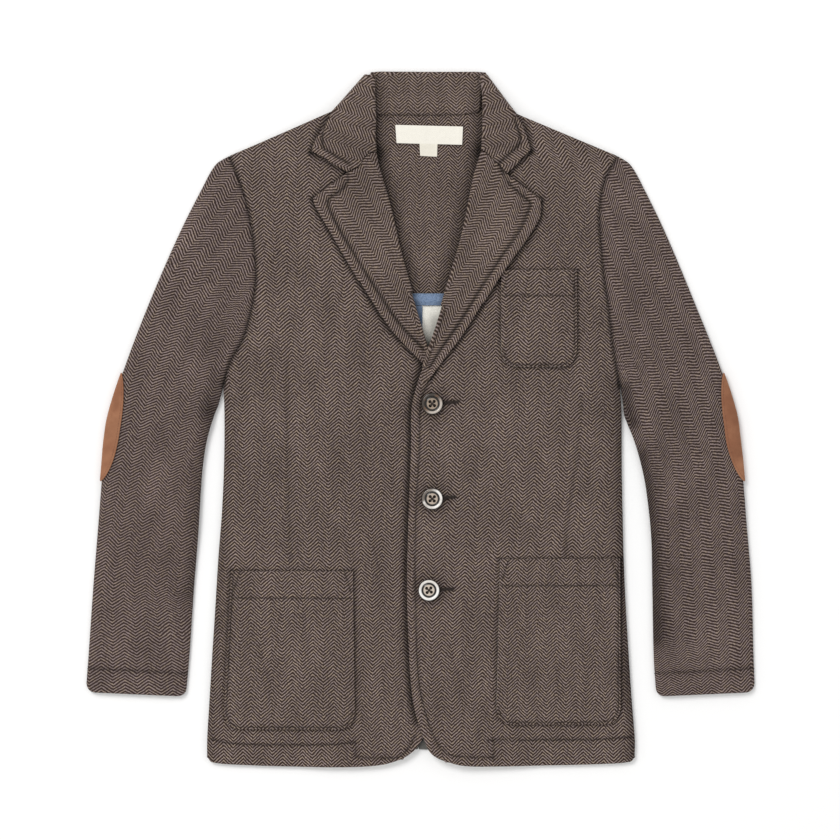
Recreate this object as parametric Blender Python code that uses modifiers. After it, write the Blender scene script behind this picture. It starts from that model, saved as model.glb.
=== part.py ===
"""Boy's single-breasted blazer in herringbone fleece, laid flat with its front up.

The garment lies in the XY plane and rests on Z = 0. +X is the wearer's left, +Y runs from the hem
to the collar. The wearer's left front laps over the right one. Left and right are the wearer's.

The tables below hold millimetres. Across the garment they are measured from its middle line, and
heights from the lowest point of the hem. Reaches are distances from the middle line.
"""
import math
from collections import namedtuple

import bmesh
import bpy
from mathutils import Vector

MM = 0.001

# Driving sizes of the laid garment.
LENGTH = 585.0
MIDDLE_OF_WIDTH = -0.4
CENTRE_BACK = -2.3
LAP_MIDDLE = 3.0

# Thickness of each cloth, the gap at seams, and the gap below what lies on a front.
CLOTH = 1.8
FACING_CLOTH = 1.2
TAPE_CLOTH = 1.0
LABEL_CLOTH = 0.6
LAPEL_CLOTH = 2.2
COLLAR_CLOTH = 2.4
SLEEVE_CLOTH = 1.6
PATCH_CLOTH = 1.2
GAP = 0.3
STACK_GAP = 0.5

# Air between the layers, and the steps that layers make over one another.
AIR = 2.2
FACING_STEP = FACING_CLOTH + STACK_GAP
COLLAR_STEP = COLLAR_CLOTH + GAP
OVERLAP_STEP = CLOTH + STACK_GAP
LAPEL_STEP = LAPEL_CLOTH + STACK_GAP

BUTTON_RADIUS = 9.0
BUTTON_HEIGHT = 3.0
BUTTON_HOLE_RADIUS = 0.85
BUTTON_HOLE_CIRCLE = 2.1
BUTTON_FACE_HEIGHT = 2.0
BUTTON_STEPS = 24
HOLE_STEPS = 8

RIGHT, LEFT = -1, 1

Reach = namedtuple("Reach", "height right left")
Spot = namedtuple("Spot", "x y")
SleeveSection = namedtuple("SleeveSection", "outer_height inner_height armhole_share crown lift")
Crease = namedtuple("Crease", "x0 y0 x1 y1 rise width")
Pocket = namedtuple("Pocket", "top_outer top_inner bottom_outer bottom_inner")
Ramp = namedtuple("Ramp", "start run")
Ring = namedtuple("Ring", "inset height")
Fold = namedtuple("Fold", "leg depth bulge loss")

# Side seams, from the hem to the underarm.
SIDE_SEAM = (
    Reach(height=9.0, right=179.8, left=179.6),
    Reach(height=23.5, right=179.8, left=179.8),
    Reach(height=54.0, right=178.0, left=177.4),
    Reach(height=94.0, right=175.6, left=174.7),
    Reach(height=134.0, right=173.0, left=172.3),
    Reach(height=175.0, right=170.5, left=170.5),
    Reach(height=215.0, right=167.4, left=169.5),
    Reach(height=255.0, right=165.6, left=168.8),
    Reach(height=300.0, right=165.3, left=168.6),
    Reach(height=320.0, right=166.3, left=167.3),
)

# Armhole seams, from the underarm to the shoulder point.
ARMHOLE = (
    Reach(height=320.0, right=166.3, left=167.3),
    Reach(height=341.0, right=160.2, left=163.4),
    Reach(height=361.0, right=149.5, left=160.4),
    Reach(height=391.0, right=141.3, left=157.0),
    Reach(height=414.0, right=138.7, left=153.6),
    Reach(height=437.0, right=140.4, left=151.4),
    Reach(height=464.5, right=144.5, left=149.9),
    Reach(height=491.5, right=152.0, left=153.7),
    Reach(height=514.3, right=161.3, left=165.3),
)

# Outer folds of the sleeves, from the cuff to the shoulder point.
SLEEVE_OUTER_FOLD = (
    Reach(height=71.0, right=281.4, left=280.6),
    Reach(height=94.0, right=279.7, left=279.7),
    Reach(height=154.5, right=275.5, left=278.0),
    Reach(height=205.0, right=271.3, left=273.8),
    Reach(height=255.5, right=267.1, left=269.6),
    Reach(height=275.5, right=265.4, left=267.3),
    Reach(height=295.7, right=262.1, left=264.6),
    Reach(height=326.0, right=252.8, left=255.4),
    Reach(height=386.5, right=230.2, left=231.8),
    Reach(height=447.0, right=204.1, left=206.6),
    Reach(height=487.0, right=184.0, left=187.3),
    Reach(height=507.5, right=172.2, left=175.6),
    Reach(height=514.3, right=161.3, left=165.3),
)

# Inner folds of the sleeves, from the cuff to the underarm.
SLEEVE_INNER_FOLD = (
    Reach(height=64.5, right=197.4, left=197.6),
    Reach(height=94.0, right=194.8, left=195.7),
    Reach(height=154.5, right=190.7, left=194.5),
    Reach(height=195.0, right=187.3, left=193.4),
    Reach(height=235.0, right=184.8, left=189.0),
    Reach(height=255.5, right=183.1, left=184.8),
    Reach(height=275.5, right=179.8, left=178.9),
    Reach(height=295.7, right=173.9, left=170.9),
    Reach(height=306.0, right=169.9, left=169.7),
    Reach(height=320.0, right=166.3, left=167.3),
)

# One row for each section of a sleeve, from the armhole to the cuff: where it meets the two folds,
# how much of the armhole's curve it keeps, the height of its crown and how far it is off the floor.
SLEEVE_SECTIONS = (
    SleeveSection(514.3, 320.0, 1.00, 4.1, 0.0),
    SleeveSection(507.5, 319.0, 0.94, 4.5, 0.0),
    SleeveSection(487.0, 316.0, 0.83, 5.1, 0.0),
    SleeveSection(460.0, 312.5, 0.70, 5.7, 0.0),
    SleeveSection(428.0, 307.0, 0.54, 6.2, 0.0),
    SleeveSection(392.0, 299.0, 0.38, 6.4, 0.4),
    SleeveSection(358.0, 288.0, 0.24, 6.4, 1.7),
    SleeveSection(326.0, 272.0, 0.13, 6.2, 1.7),
    SleeveSection(296.0, 252.0, 0.06, 6.0, 1.7),
    SleeveSection(264.0, 229.0, 0.02, 6.0, 1.7),
    SleeveSection(230.0, 204.0, 0.00, 6.0, 1.7),
    SleeveSection(195.0, 176.0, 0.00, 6.2, 0.5),
    SleeveSection(154.5, 144.0, 0.00, 6.2, 0.0),
    SleeveSection(112.0, 106.0, 0.00, 5.8, 0.0),
    SleeveSection(71.0, 64.5, 0.00, 5.0, 0.0),
)
CUFF_DIP = 5.0
CUFF_DIP_START = 112.0

# Height of a sleeve's folded edge, and how far the rounding reaches in above and below it.
FOLD_TIP = 2.2
CROWN_ROUNDING = 14.0
SOLE_ROUNDING = 4.0
HOLLOW_HALF = 0.05

# Elbow patch: its middle, its half length along the fold, and its reach above and below the fold.
PATCH_MIDDLE = 286.0
PATCH_HALF_LENGTH = 45.0
PATCH_REACH_ABOVE = 15.0
PATCH_REACH_BELOW = 58.0
PATCH_SHARES = (-1.0, -0.72, -0.45, -0.22, -0.10, -0.04, 0.0, 0.12, 0.3, 0.62, 1.0)
PATCH_ROWS = 9
PATCH_END_SHARE = 0.06
SLOPE_STEP = 0.05

# Hems and front edges, from the side to the middle and then up to the break of the lapel.
BACK_HEM = (Spot(-179.8, 9.0), Spot(-90.0, 14.0), Spot(CENTRE_BACK, 15.1), Spot(90.0, 13.5),
            Spot(179.6, 9.0))
FRONT_HEM = {
    RIGHT: (Spot(-179.8, 9.0), Spot(-175.6, 4.5), Spot(-147.4, 2.2), Spot(-100.8, 0.8),
            Spot(-54.2, 0.8), Spot(-31.1, 2.9), Spot(-15.4, 7.6)),
    LEFT: (Spot(179.6, 9.0), Spot(176.0, 5.0), Spot(150.0, 3.0), Spot(110.0, 2.0),
           Spot(60.0, 1.2), Spot(35.3, 2.0), Spot(21.0, 5.6)),
}
FRONT_EDGE = {
    RIGHT: (Spot(-15.4, 7.6), Spot(-5.3, 15.1), Spot(3.0, 28.0), Spot(11.0, 60.0),
            Spot(16.5, 116.0), Spot(18.0, 200.0), Spot(17.5, 290.0), Spot(11.5, 339.0)),
    LEFT: (Spot(21.0, 5.6), Spot(12.6, 9.2), Spot(6.4, 15.1), Spot(-2.9, 39.5), Spot(-8.0, 65.5),
           Spot(-10.9, 116.0), Spot(-11.8, 158.0), Spot(-10.5, 212.5), Spot(-8.4, 271.3),
           Spot(-8.0, 300.7), Spot(-4.6, 318.0), Spot(2.2, 338.2)),
}

# Roll lines of the lapels, from the break up to the gorge seam.
ROLL_LINE = {
    RIGHT: (Spot(11.5, 339.0), Spot(5.9, 357.8), Spot(-3.4, 388.9), Spot(-16.0, 432.6),
            Spot(-25.2, 472.1), Spot(-35.3, 507.4), Spot(-37.0, 516.6)),
    LEFT: (Spot(2.2, 338.2), Spot(6.7, 353.2), Spot(13.4, 374.2), Spot(21.8, 404.9),
           Spot(33.6, 446.0), Spot(43.7, 495.6), Spot(50.4, 518.3)),
}

# Gorge seams, where the collar meets the lapel, from the roll line out to the notch.
GORGE = {
    RIGHT: (Spot(-37.0, 516.6), Spot(-43.7, 515.4), Spot(-47.5, 511.5), Spot(-52.1, 504.0),
            Spot(-62.2, 499.4)),
    LEFT: (Spot(50.4, 518.3), Spot(54.6, 515.8), Spot(65.3, 505.7), Spot(72.2, 498.2)),
}
LAPEL_POINT = {RIGHT: Spot(-90.7, 478.0), LEFT: Spot(100.8, 477.1)}
LAPEL_OUTER = {
    RIGHT: (Spot(-90.7, 478.0), Spot(-89.0, 472.0), Spot(-76.4, 450.2), Spot(-60.5, 422.5),
            Spot(-42.8, 393.1), Spot(-24.4, 366.2), Spot(1.3, 339.7)),
    LEFT: (Spot(100.8, 477.1), Spot(99.1, 460.3), Spot(65.5, 410.8), Spot(37.0, 365.4),
           Spot(20.2, 343.6), Spot(7.6, 326.5)),
}
LAPEL_END = {
    RIGHT: (Spot(11.0, 340.6), Spot(1.3, 339.7)),
    LEFT: (Spot(2.4, 338.8), Spot(-3.2, 322.0), Spot(7.6, 326.5)),
}

# Neck: the shoulder's two ends, and the collar's points, from the roll line outwards.
NECK_POINT = {RIGHT: Spot(-59.6, 557.8), LEFT: Spot(59.6, 557.8)}
SHOULDER_POINT = {RIGHT: Spot(-161.3, 514.3), LEFT: Spot(165.3, 514.3)}
NECK_EDGE = {
    RIGHT: (Spot(-37.0, 516.6), Spot(-44.0, 535.0), Spot(-59.6, 557.8)),
    LEFT: (Spot(50.4, 518.3), Spot(53.5, 536.0), Spot(59.6, 557.8)),
}
BACK_NECK_HEIGHT = 549.0
NECK_LINE = (Spot(-59.6, 557.8), Spot(-50.0, 551.6), Spot(-36.0, 549.3), Spot(CENTRE_BACK, 549.0),
             Spot(34.0, 549.3), Spot(49.0, 551.6), Spot(59.6, 557.8))
COLLAR_TOP = 585.0
WING_POINT = {RIGHT: Spot(-92.4, 516.6), LEFT: Spot(92.4, 517.5)}
WING_OUTER = {
    RIGHT: (Spot(-92.4, 516.6), Spot(-89.0, 528.0), Spot(-84.0, 537.6), Spot(-76.4, 549.4)),
    LEFT: (Spot(92.4, 517.5), Spot(91.0, 528.0), Spot(87.0, 539.5), Spot(80.6, 548.5)),
}
COLLAR_SHOULDER = {RIGHT: Spot(-76.4, 549.4), LEFT: Spot(80.6, 548.5)}
COLLAR_CORNER = {RIGHT: Spot(-46.2, 583.6), LEFT: Spot(54.6, 583.6)}
WING_INNER = {
    RIGHT: (Spot(-37.0, 516.6), Spot(-37.8, 530.0), Spot(-37.8, 552.7), Spot(-40.3, 583.6)),
    LEFT: (Spot(50.4, 518.3), Spot(51.2, 530.0), Spot(52.1, 552.7), Spot(53.0, 583.6)),
}
FALL_EDGE = (Spot(-76.4, 549.4), Spot(-64.0, 541.0), Spot(-34.0, 538.0), Spot(4.0, 537.4),
             Spot(41.0, 538.0), Spot(68.0, 541.0), Spot(80.6, 548.5))
STAND_HALF_WIDTH = 46.0
STAND_MIDDLE = 6.5
STAND_FOOT_RISE = 0.9

# Folded edges of the collar: the legs that reach into the cloth on both sides of the fold, how far
# in the bend starts, how far it swings out, and by how much it is thinner than the collar.
ROLL_FOLD = Fold(leg=6.0, depth=2.5, bulge=1.3, loss=0.2)
SIDE_FOLD = Fold(leg=9.0, depth=5.0, bulge=3.8, loss=0.4)
FOLD_STEPS = 6
FOLD_SHARES = (0.24, 0.5, 0.75, 0.97)
FOLD_INSET = 2.6
FOLD_CORNER_INSET = 3.0
FOLD_CORNER_DROP = 1.6
FOLD_LEVEL_INSET = 8.0
WING_TOP_INSET = 2.0
LEG_SINK = 0.05

# Back neck facing, its binding, the tape on the centre-back seam, the label and the size tab.
FACING_TOP_REACH = 8.0
FACING_LOW_HALF_WIDTH = 44.0
FACING_FOOT = 399.0
BINDING_DEPTH = 10.4
TAPE_WIDTH = 7.0
LABEL_CORNERS = (Spot(-20.5, 524.6), Spot(34.6, 523.2), Spot(35.3, 538.6), Spot(-21.6, 540.0))
SIZE_TAB_CORNERS = (Spot(-0.7, 514.0), Spot(13.6, 513.2), Spot(13.9, 523.0), Spot(-1.3, 523.4))

POCKETS = {
    "chest_pocket": (LEFT, Pocket(Spot(131.5, 418.3), Spot(66.4, 418.3),
                                  Spot(131.5, 336.0), Spot(66.4, 336.0))),
    "lower_pocket_right": (RIGHT, Pocket(Spot(-160.0, 165.5), Spot(-56.3, 165.5),
                                         Spot(-166.8, 32.0), Spot(-54.6, 32.0))),
    "lower_pocket_left": (LEFT, Pocket(Spot(168.0, 176.0), Spot(65.5, 175.6),
                                       Spot(168.4, 36.1), Spot(62.2, 36.1))),
}
POCKET_CORNER = 15.0
POCKET_CORNER_FLAT = 0.62
POCKET_CORNER_BOW = 1.1

BUTTONS = {
    "button_top": Spot(9.4, 306.0),
    "button_middle": Spot(9.4, 226.3),
    "button_bottom": Spot(6.7, 149.7),
}

# Soft ridges that the fronts keep where they buckle beside the armholes and over the darts.
CREASES = (
    Crease(-134.0, 372.0, -147.0, 288.0, rise=1.1, width=15.0),
    Crease(-118.0, 330.0, -112.0, 200.0, rise=0.7, width=17.0),
    Crease(146.0, 385.0, 149.0, 250.0, rise=0.9, width=14.0),
    Crease(118.0, 320.0, 112.0, 215.0, rise=0.6, width=18.0),
)

# Where the heights of the layers rise or fall: each ramp starts at a place and ends a run further on.
NECK_RISE = Ramp(478.0, 52.0)
NECK_SIDES = Ramp(152.0, -60.0)
FACING_SIDES = Ramp(104.0, -32.0)
AIR_FROM_EDGE = Ramp(0.0, 60.0)
AIR_FROM_MIDDLE = Ramp(16.0, 55.0)
AIR_FROM_HEM = Ramp(5.0, 50.0)
AIR_FROM_SHOULDER = Ramp(0.0, 45.0)
CREASE_FROM_EDGE = Ramp(0.0, 22.0)
LAP_SIDE = Ramp(76.0, -56.0)
LAP_TOP = Ramp(452.0, -92.0)
LAPEL_END_SIDE = Ramp(66.0, -48.0)
LAPEL_END_FOOT = Ramp(313.0, 20.0)
LAPEL_END_TOP = Ramp(445.0, -80.0)
POCKET_TOP_SIDE = Ramp(46.0, 16.0)
POCKET_TOP_FOOT = Ramp(378.0, 20.0)
POCKET_TOP_HEAD = Ramp(462.0, -34.0)
WING_TO_STAND = Ramp(556.0, 26.0)

# Where each panel's grid is drawn, as shares of its edges.
ACROSS_FRONT = (0.0, 0.06, 0.13, 0.22, 0.33, 0.45, 0.57, 0.69, 0.80, 0.90, 1.0)
SEAM_ROWS_FRONT = 16
SEAM_ROWS_BACK = 5
ACROSS_BACK = (0.0, 0.15, 0.28, 0.40, 0.50, 0.60, 0.70, 0.80, 0.90, 1.0)
ACROSS_SLEEVE = (0.0, 0.035, 0.09, 0.18, 0.30, 0.43, 0.57, 0.71, 0.85, 0.96, 1.0)

# Turned profile of a button, from its foot to the dish in its face.
BUTTON_RINGS = (
    Ring(inset=1.6, height=0.0),
    Ring(inset=0.3, height=0.7),
    Ring(inset=0.0, height=1.6),
    Ring(inset=0.5, height=2.6),
    Ring(inset=1.5, height=3.0),
    Ring(inset=2.6, height=2.5),
    Ring(inset=3.4, height=1.9),
)

HERRINGBONE = (0.130, 0.095, 0.080, 1.0)
SUEDE = (0.300, 0.130, 0.065, 1.0)
CHAMBRAY = (0.120, 0.220, 0.420, 1.0)
LABEL_COTTON = (0.830, 0.800, 0.710, 1.0)
HORN = (0.240, 0.190, 0.150, 1.0)
SILVER_HORN = (0.420, 0.390, 0.360, 1.0)
CLOTH_ROUGHNESS = 0.9
HORN_ROUGHNESS = 0.35


# ---------------------------------------------------------------------------------------- curves

def smooth(points, steps=10):
    """Dense polyline on a smooth curve through the points."""
    points = [Vector((p[0], p[1])) for p in points]
    tangents = []
    for index, point in enumerate(points):
        before = points[max(index - 1, 0)]
        after = points[min(index + 1, len(points) - 1)]
        tangents.append((after - before).normalized())
    line = []
    for index in range(len(points) - 1):
        start, end = points[index], points[index + 1]
        chord = (end - start).length
        for step in range(steps):
            t = step / steps
            line.append(start * (2 * t**3 - 3 * t**2 + 1) + end * (3 * t**2 - 2 * t**3)
                        + tangents[index] * chord * (t**3 - 2 * t**2 + t)
                        + tangents[index + 1] * chord * (t**3 - t**2))
    line.append(points[-1])
    return line


def straight(*points):
    """Polyline through the points."""
    return [Vector((p[0], p[1])) for p in points]


def joined(*lines):
    """One polyline from several that meet end to end."""
    whole = list(lines[0])
    for line in lines[1:]:
        whole.extend(line[1:])
    return whole


def at_shares(line, shares):
    """Points of a polyline at the given shares of its length."""
    lengths = [0.0]
    for start, end in zip(line, line[1:]):
        lengths.append(lengths[-1] + (end - start).length)
    points = []
    index = 0
    for share in shares:
        target = share * lengths[-1]
        while index < len(line) - 2 and lengths[index + 1] < target:
            index += 1
        run = max(lengths[index + 1] - lengths[index], 1e-9)
        points.append(line[index].lerp(line[index + 1], (target - lengths[index]) / run))
    return points


def reach_at(table, side, height):
    """Reach of a table of rows at a height, on one side, read from the smooth curve through it."""
    line = smooth([(row.height, row.right if side == RIGHT else row.left) for row in table])
    height = min(max(height, line[0].x), line[-1].x)
    for start, end in zip(line, line[1:]):
        if height <= end.x:
            return start.y + (end.y - start.y) * (height - start.x) / max(end.x - start.x, 1e-9)
    return line[-1].y


def seam(table, side):
    """A table of rows as the plan curve of one side."""
    return smooth([(side * (row.right if side == RIGHT else row.left), row.height)
                   for row in table])


def shares_of(line):
    """Share of its length at which each point of a polyline stands."""
    lengths = [0.0]
    for start, end in zip(line, line[1:]):
        lengths.append(lengths[-1] + (end - start).length)
    return [length / lengths[-1] for length in lengths]


def body_side(side, seam_rows):
    """Side seam and armhole of one half, with the armhole's points those of the sleeve."""
    armhole = at_shares(list(reversed(seam(ARMHOLE, side))), ACROSS_SLEEVE)
    return joined(at_shares(seam(SIDE_SEAM, side), even(seam_rows)), list(reversed(armhole)))


def even(count):
    """Shares at even steps."""
    return [index / count for index in range(count + 1)]


def patch(low, high, start, end, across, along):
    """Grid of plan points between four edges that meet at their ends.

    low and high run across, at the two ends; start and end run along, at the two sides.
    """
    low, high = at_shares(low, across), at_shares(high, across)
    start, end = at_shares(start, along), at_shares(end, along)
    grid = []
    for j, v in enumerate(along):
        row = []
        for i, u in enumerate(across):
            sides = start[j] * (1 - u) + end[j] * u
            ends = low[i] * (1 - v) + high[i] * v
            corners = (low[0] * (1 - u) + low[-1] * u) * (1 - v) \
                + (high[0] * (1 - u) + high[-1] * u) * v
            row.append(sides + ends - corners)
        grid.append(row)
    return grid


# --------------------------------------------------------------------------------------- heights

def ease(t):
    """Smooth step from 0 to 1."""
    t = min(max(t, 0.0), 1.0)
    return t * t * (3 - 2 * t)


def rise(value, ramp):
    """How far a value is along a ramp, from 0 to 1."""
    return ease((value - ramp.start) / ramp.run)


BODY_REACH = {side: {table: [(p.x, p.y) for p in smooth(
    [(row.height, row.right if side == RIGHT else row.left) for row in rows])]
    for table, rows in (("side", SIDE_SEAM), ("armhole", ARMHOLE))} for side in (RIGHT, LEFT)}


def body_reach(x, y):
    """Distance from the middle line to the body's edge at a height."""
    tables = BODY_REACH[RIGHT if x < 0 else LEFT]
    rows = tables["side"] if y < SIDE_SEAM[-1].height else tables["armhole"]
    if y <= rows[0][0]:
        return rows[0][1]
    for (h0, r0), (h1, r1) in zip(rows, rows[1:]):
        if y <= h1:
            return r0 + (r1 - r0) * (y - h0) / max(h1 - h0, 1e-9)
    return rows[-1][1]


def below_shoulder(x, y):
    """Distance of a point below the shoulder seam."""
    neck, point = NECK_POINT[LEFT], SHOULDER_POINT[LEFT]
    slope = (point.y - neck.y) / (point.x - neck.x)
    return neck.y + slope * (abs(x) - neck.x) - y


def back_under(x, y):
    """Underside of the back: on the floor, but over the collar's fall at the neck."""
    return COLLAR_STEP * rise(y, NECK_RISE) * rise(abs(x - STAND_MIDDLE), NECK_SIDES)


def back_top(x, y):
    """Top of the back's cloth."""
    return back_under(x, y) + CLOTH


def on_back(x, y):
    """Underside of what lies on the back."""
    return back_top(x, y) + STACK_GAP


def crease_rise(x, y):
    """Height that the soft ridges add to a front."""
    height = 0.0
    for crease in CREASES:
        start = Vector((crease.x0, crease.y0))
        run = Vector((crease.x1, crease.y1)) - start
        away = Vector((x, y)) - start
        t = away.dot(run) / run.length_squared
        foot = min(max(t, 0.0), 1.0)
        gap = (away - run * foot).length
        height += crease.rise * math.exp(-(gap / crease.width)**2)
    return height


def front_under(x, y):
    """Underside of the front that lies lower: facing and tape below it, and a little air."""
    over_facing = FACING_STEP * rise(abs(x - CENTRE_BACK), FACING_SIDES)
    edge = body_reach(x, y) - abs(x)
    air = AIR * (rise(edge, AIR_FROM_EDGE) * rise(abs(x - LAP_MIDDLE), AIR_FROM_MIDDLE)
                 * rise(y, AIR_FROM_HEM) * rise(below_shoulder(x, y), AIR_FROM_SHOULDER))
    creases = crease_rise(x, y) * rise(edge, CREASE_FROM_EDGE)
    return on_back(x, y) + over_facing + air + creases


def left_front_under(x, y):
    """Underside of the left front, which steps over the right one and over its lapel's end."""
    over_front = OVERLAP_STEP * rise(x, LAP_SIDE) * rise(y, LAP_TOP)
    over_lapel = LAPEL_STEP * rise(x, LAPEL_END_SIDE) * rise(y, LAPEL_END_FOOT) \
        * rise(y, LAPEL_END_TOP)
    return front_under(x, y) + over_front + over_lapel


FRONT_UNDER = {RIGHT: front_under, LEFT: left_front_under}


def front_top(side):
    """Function for the underside of what lies on one front."""
    return lambda x, y: FRONT_UNDER[side](x, y) + CLOTH + STACK_GAP


def lapel_under(side):
    """Underside of a lapel: on its front, and over the chest pocket's corner on the left."""
    def height(x, y):
        over_pocket = OVERLAP_STEP * rise(x, POCKET_TOP_SIDE) * rise(y, POCKET_TOP_FOOT) \
            * rise(y, POCKET_TOP_HEAD)
        return front_top(side)(x, y) + (over_pocket if side == LEFT else 0.0)
    return height


def wing_under(side):
    """Underside of a collar wing: on the front, and down to the stand towards the roll."""
    def height(x, y):
        on_front = front_top(side)(x, y)
        on_stand = 2 * COLLAR_STEP
        return on_front + (on_stand - on_front) * rise(y, WING_TO_STAND)
    return height


# ---------------------------------------------------------------------------------------- pieces

def finish(name, colour, roughness):
    """Material of one piece."""
    material = bpy.data.materials.new(name)
    material.use_nodes = True
    shader = material.node_tree.nodes["Principled BSDF"]
    shader.inputs["Base Color"].default_value = colour
    shader.inputs["Roughness"].default_value = roughness
    shader.inputs["Metallic"].default_value = 0.0
    return material


def place(name, mesh, colour, roughness=CLOTH_ROUGHNESS):
    """Object of a mesh, in the garment's collection and under its empty."""
    shape = bpy.data.objects.new(name, mesh)
    shape.data.materials.clear()
    shape.data.materials.append(finish(name, colour, roughness))
    collection.objects.link(shape)
    shape.parent = garment
    return shape


def grid_mesh(name, points, closed_around=False):
    """Mesh of quads through rows of points, in metres."""
    mesh = bpy.data.meshes.new(name)
    build = bmesh.new()
    rows = [[build.verts.new(Vector(p) * MM) for p in row] for row in points]
    count = len(rows[0])
    for low, high in zip(rows, rows[1:]):
        for i in range(count if closed_around else count - 1):
            k = (i + 1) % count
            build.faces.new((low[i], low[k], high[k], high[i]))
    build.to_mesh(mesh)
    build.free()
    return mesh


def cloth(name, grid, height, thickness, colour):
    """Cloth panel: a grid of plan points at a height, thickened upwards."""
    points = [[(p.x, p.y, height(p.x, p.y)) for p in row] for row in grid]
    corners = (grid[0][0], grid[0][-1], grid[-1][-1], grid[-1][0])
    if (corners[2] - corners[0]).cross(corners[3] - corners[1]) < 0:
        points = [list(reversed(row)) for row in points]
    panel = place(name, grid_mesh(name, points), colour)
    thicken(panel, thickness, 1.0)
    return panel


def thicken(panel, thickness, offset):
    """Turns a surface into cloth of a thickness, above it at offset 1 and on both sides at 0."""
    wall = panel.modifiers.new("thickness", "SOLIDIFY")
    wall.thickness = thickness * MM
    wall.offset = offset


def make_backs():
    """The two backs, which meet at the centre-back seam."""
    for name, side in (("back_right", RIGHT), ("back_left", LEFT)):
        centre = CENTRE_BACK + side * GAP / 2
        half_hem = [p for p in BACK_HEM if (p.x - CENTRE_BACK) * side > 1]
        half_hem = sorted(half_hem, key=lambda p: -abs(p.x)) + [Spot(centre, 15.1)]
        half_neck = [p for p in NECK_LINE if (p.x - CENTRE_BACK) * side > 1]
        half_neck = sorted(half_neck, key=lambda p: -abs(p.x)) + [Spot(centre, BACK_NECK_HEIGHT)]
        grid = patch(low=smooth(half_hem),
                     high=joined(straight(SHOULDER_POINT[side], NECK_POINT[side]), smooth(half_neck)),
                     start=body_side(side, SEAM_ROWS_BACK),
                     end=straight(Spot(centre, 15.1), Spot(centre, BACK_NECK_HEIGHT)),
                     across=ACROSS_BACK, along=shares_of(body_side(side, SEAM_ROWS_BACK)))
        cloth(name, grid, back_under, CLOTH, HERRINGBONE)


def make_inside():
    """What shows in the neck: facing, its binding, the seam tape, the label and the size tab."""
    low_left = CENTRE_BACK - FACING_LOW_HALF_WIDTH
    low_right = CENTRE_BACK + FACING_LOW_HALF_WIDTH
    shoulders = {}
    for side in (RIGHT, LEFT):
        neck, point = NECK_POINT[side], SHOULDER_POINT[side]
        share = FACING_TOP_REACH / abs(point.x - neck.x)
        shoulders[side] = Spot(neck.x + (point.x - neck.x) * share,
                               neck.y + (point.y - neck.y) * share)
    facing_neck = [p - Vector((0.0, 2 * GAP)) for p in smooth(NECK_LINE)]
    facing_neck[0], facing_neck[-1] = Vector(NECK_POINT[RIGHT]), Vector(NECK_POINT[LEFT])
    grid = patch(low=straight(Spot(low_left, FACING_FOOT), Spot(low_right, FACING_FOOT)),
                 high=joined(straight(shoulders[RIGHT], NECK_POINT[RIGHT]), facing_neck,
                             straight(NECK_POINT[LEFT], shoulders[LEFT])),
                 start=straight(Spot(low_left, FACING_FOOT), shoulders[RIGHT]),
                 end=straight(Spot(low_right, FACING_FOOT), shoulders[LEFT]),
                 across=even(10), along=(0.0, 0.3, 0.55, 0.66, 0.74, 0.82, 0.88, 0.94, 1.0))
    cloth("neck_facing", grid, on_back, FACING_CLOTH, HERRINGBONE)

    binding_top = FACING_FOOT - GAP
    binding_foot = FACING_FOOT - BINDING_DEPTH
    strip("facing_binding", low_left, binding_foot, low_right, binding_top, FACING_CLOTH)
    strip("centre_back_tape", CENTRE_BACK - TAPE_WIDTH / 2, BACK_HEM[2].y + 6.0,
          CENTRE_BACK + TAPE_WIDTH / 2, binding_foot - GAP, TAPE_CLOTH)

    def on_facing(x, y):
        return on_back(x, y) + FACING_CLOTH + GAP

    for name, corners in (("neck_label", LABEL_CORNERS), ("size_tab", SIZE_TAB_CORNERS)):
        low_a, low_b, high_b, high_a = corners
        grid = patch(low=straight(low_a, low_b), high=straight(high_a, high_b),
                     start=straight(low_a, high_a), end=straight(low_b, high_b),
                     across=even(4), along=even(2))
        cloth(name, grid, on_facing, LABEL_CLOTH, LABEL_COTTON)


def strip(name, x0, y0, x1, y1, thickness):
    """Straight strip of chambray on the back."""
    grid = patch(low=straight((x0, y0), (x1, y0)), high=straight((x0, y1), (x1, y1)),
                 start=straight((x0, y0), (x0, y1)), end=straight((x1, y0), (x1, y1)),
                 across=even(1), along=even(1))
    cloth(name, grid, on_back, thickness, CHAMBRAY)


def make_fronts():
    """The two fronts, from the side seam and armhole to the front edge, roll line and neck."""
    for name, side in (("front_right", RIGHT), ("front_left", LEFT)):
        edge = joined(smooth(FRONT_EDGE[side] + ROLL_LINE[side][1:]), smooth(NECK_EDGE[side]))
        grid = patch(low=smooth(FRONT_HEM[side]),
                     high=straight(SHOULDER_POINT[side], NECK_POINT[side]),
                     start=body_side(side, SEAM_ROWS_FRONT), end=edge,
                     across=ACROSS_FRONT, along=shares_of(body_side(side, SEAM_ROWS_FRONT)))
        cloth(name, grid, FRONT_UNDER[side], CLOTH, HERRINGBONE)


def gorge_and_edge(side, point):
    """Gorge seam from the roll line to the notch, and the free edge from there to a point."""
    notch = GORGE[side][-1]
    edge = [Vector(notch).lerp(Vector(point), share) for share in (0.33, 0.67, 1.0)]
    return joined(straight(*GORGE[side]), [Vector(notch)] + edge)


def make_lapels():
    """The lapels, turned back over the fronts along the roll lines."""
    for name, side in (("lapel_right", RIGHT), ("lapel_left", LEFT)):
        roll = (LAPEL_END[side][0],) + ROLL_LINE[side][1:]
        top = gorge_and_edge(side, LAPEL_POINT[side])
        grid = patch(low=straight(*LAPEL_END[side]), high=top,
                     start=smooth(roll), end=list(reversed(smooth(LAPEL_OUTER[side]))),
                     across=shares_of(top), along=even(11))
        cloth(name, grid, lapel_under(side), LAPEL_CLOTH, HERRINGBONE)


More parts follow.
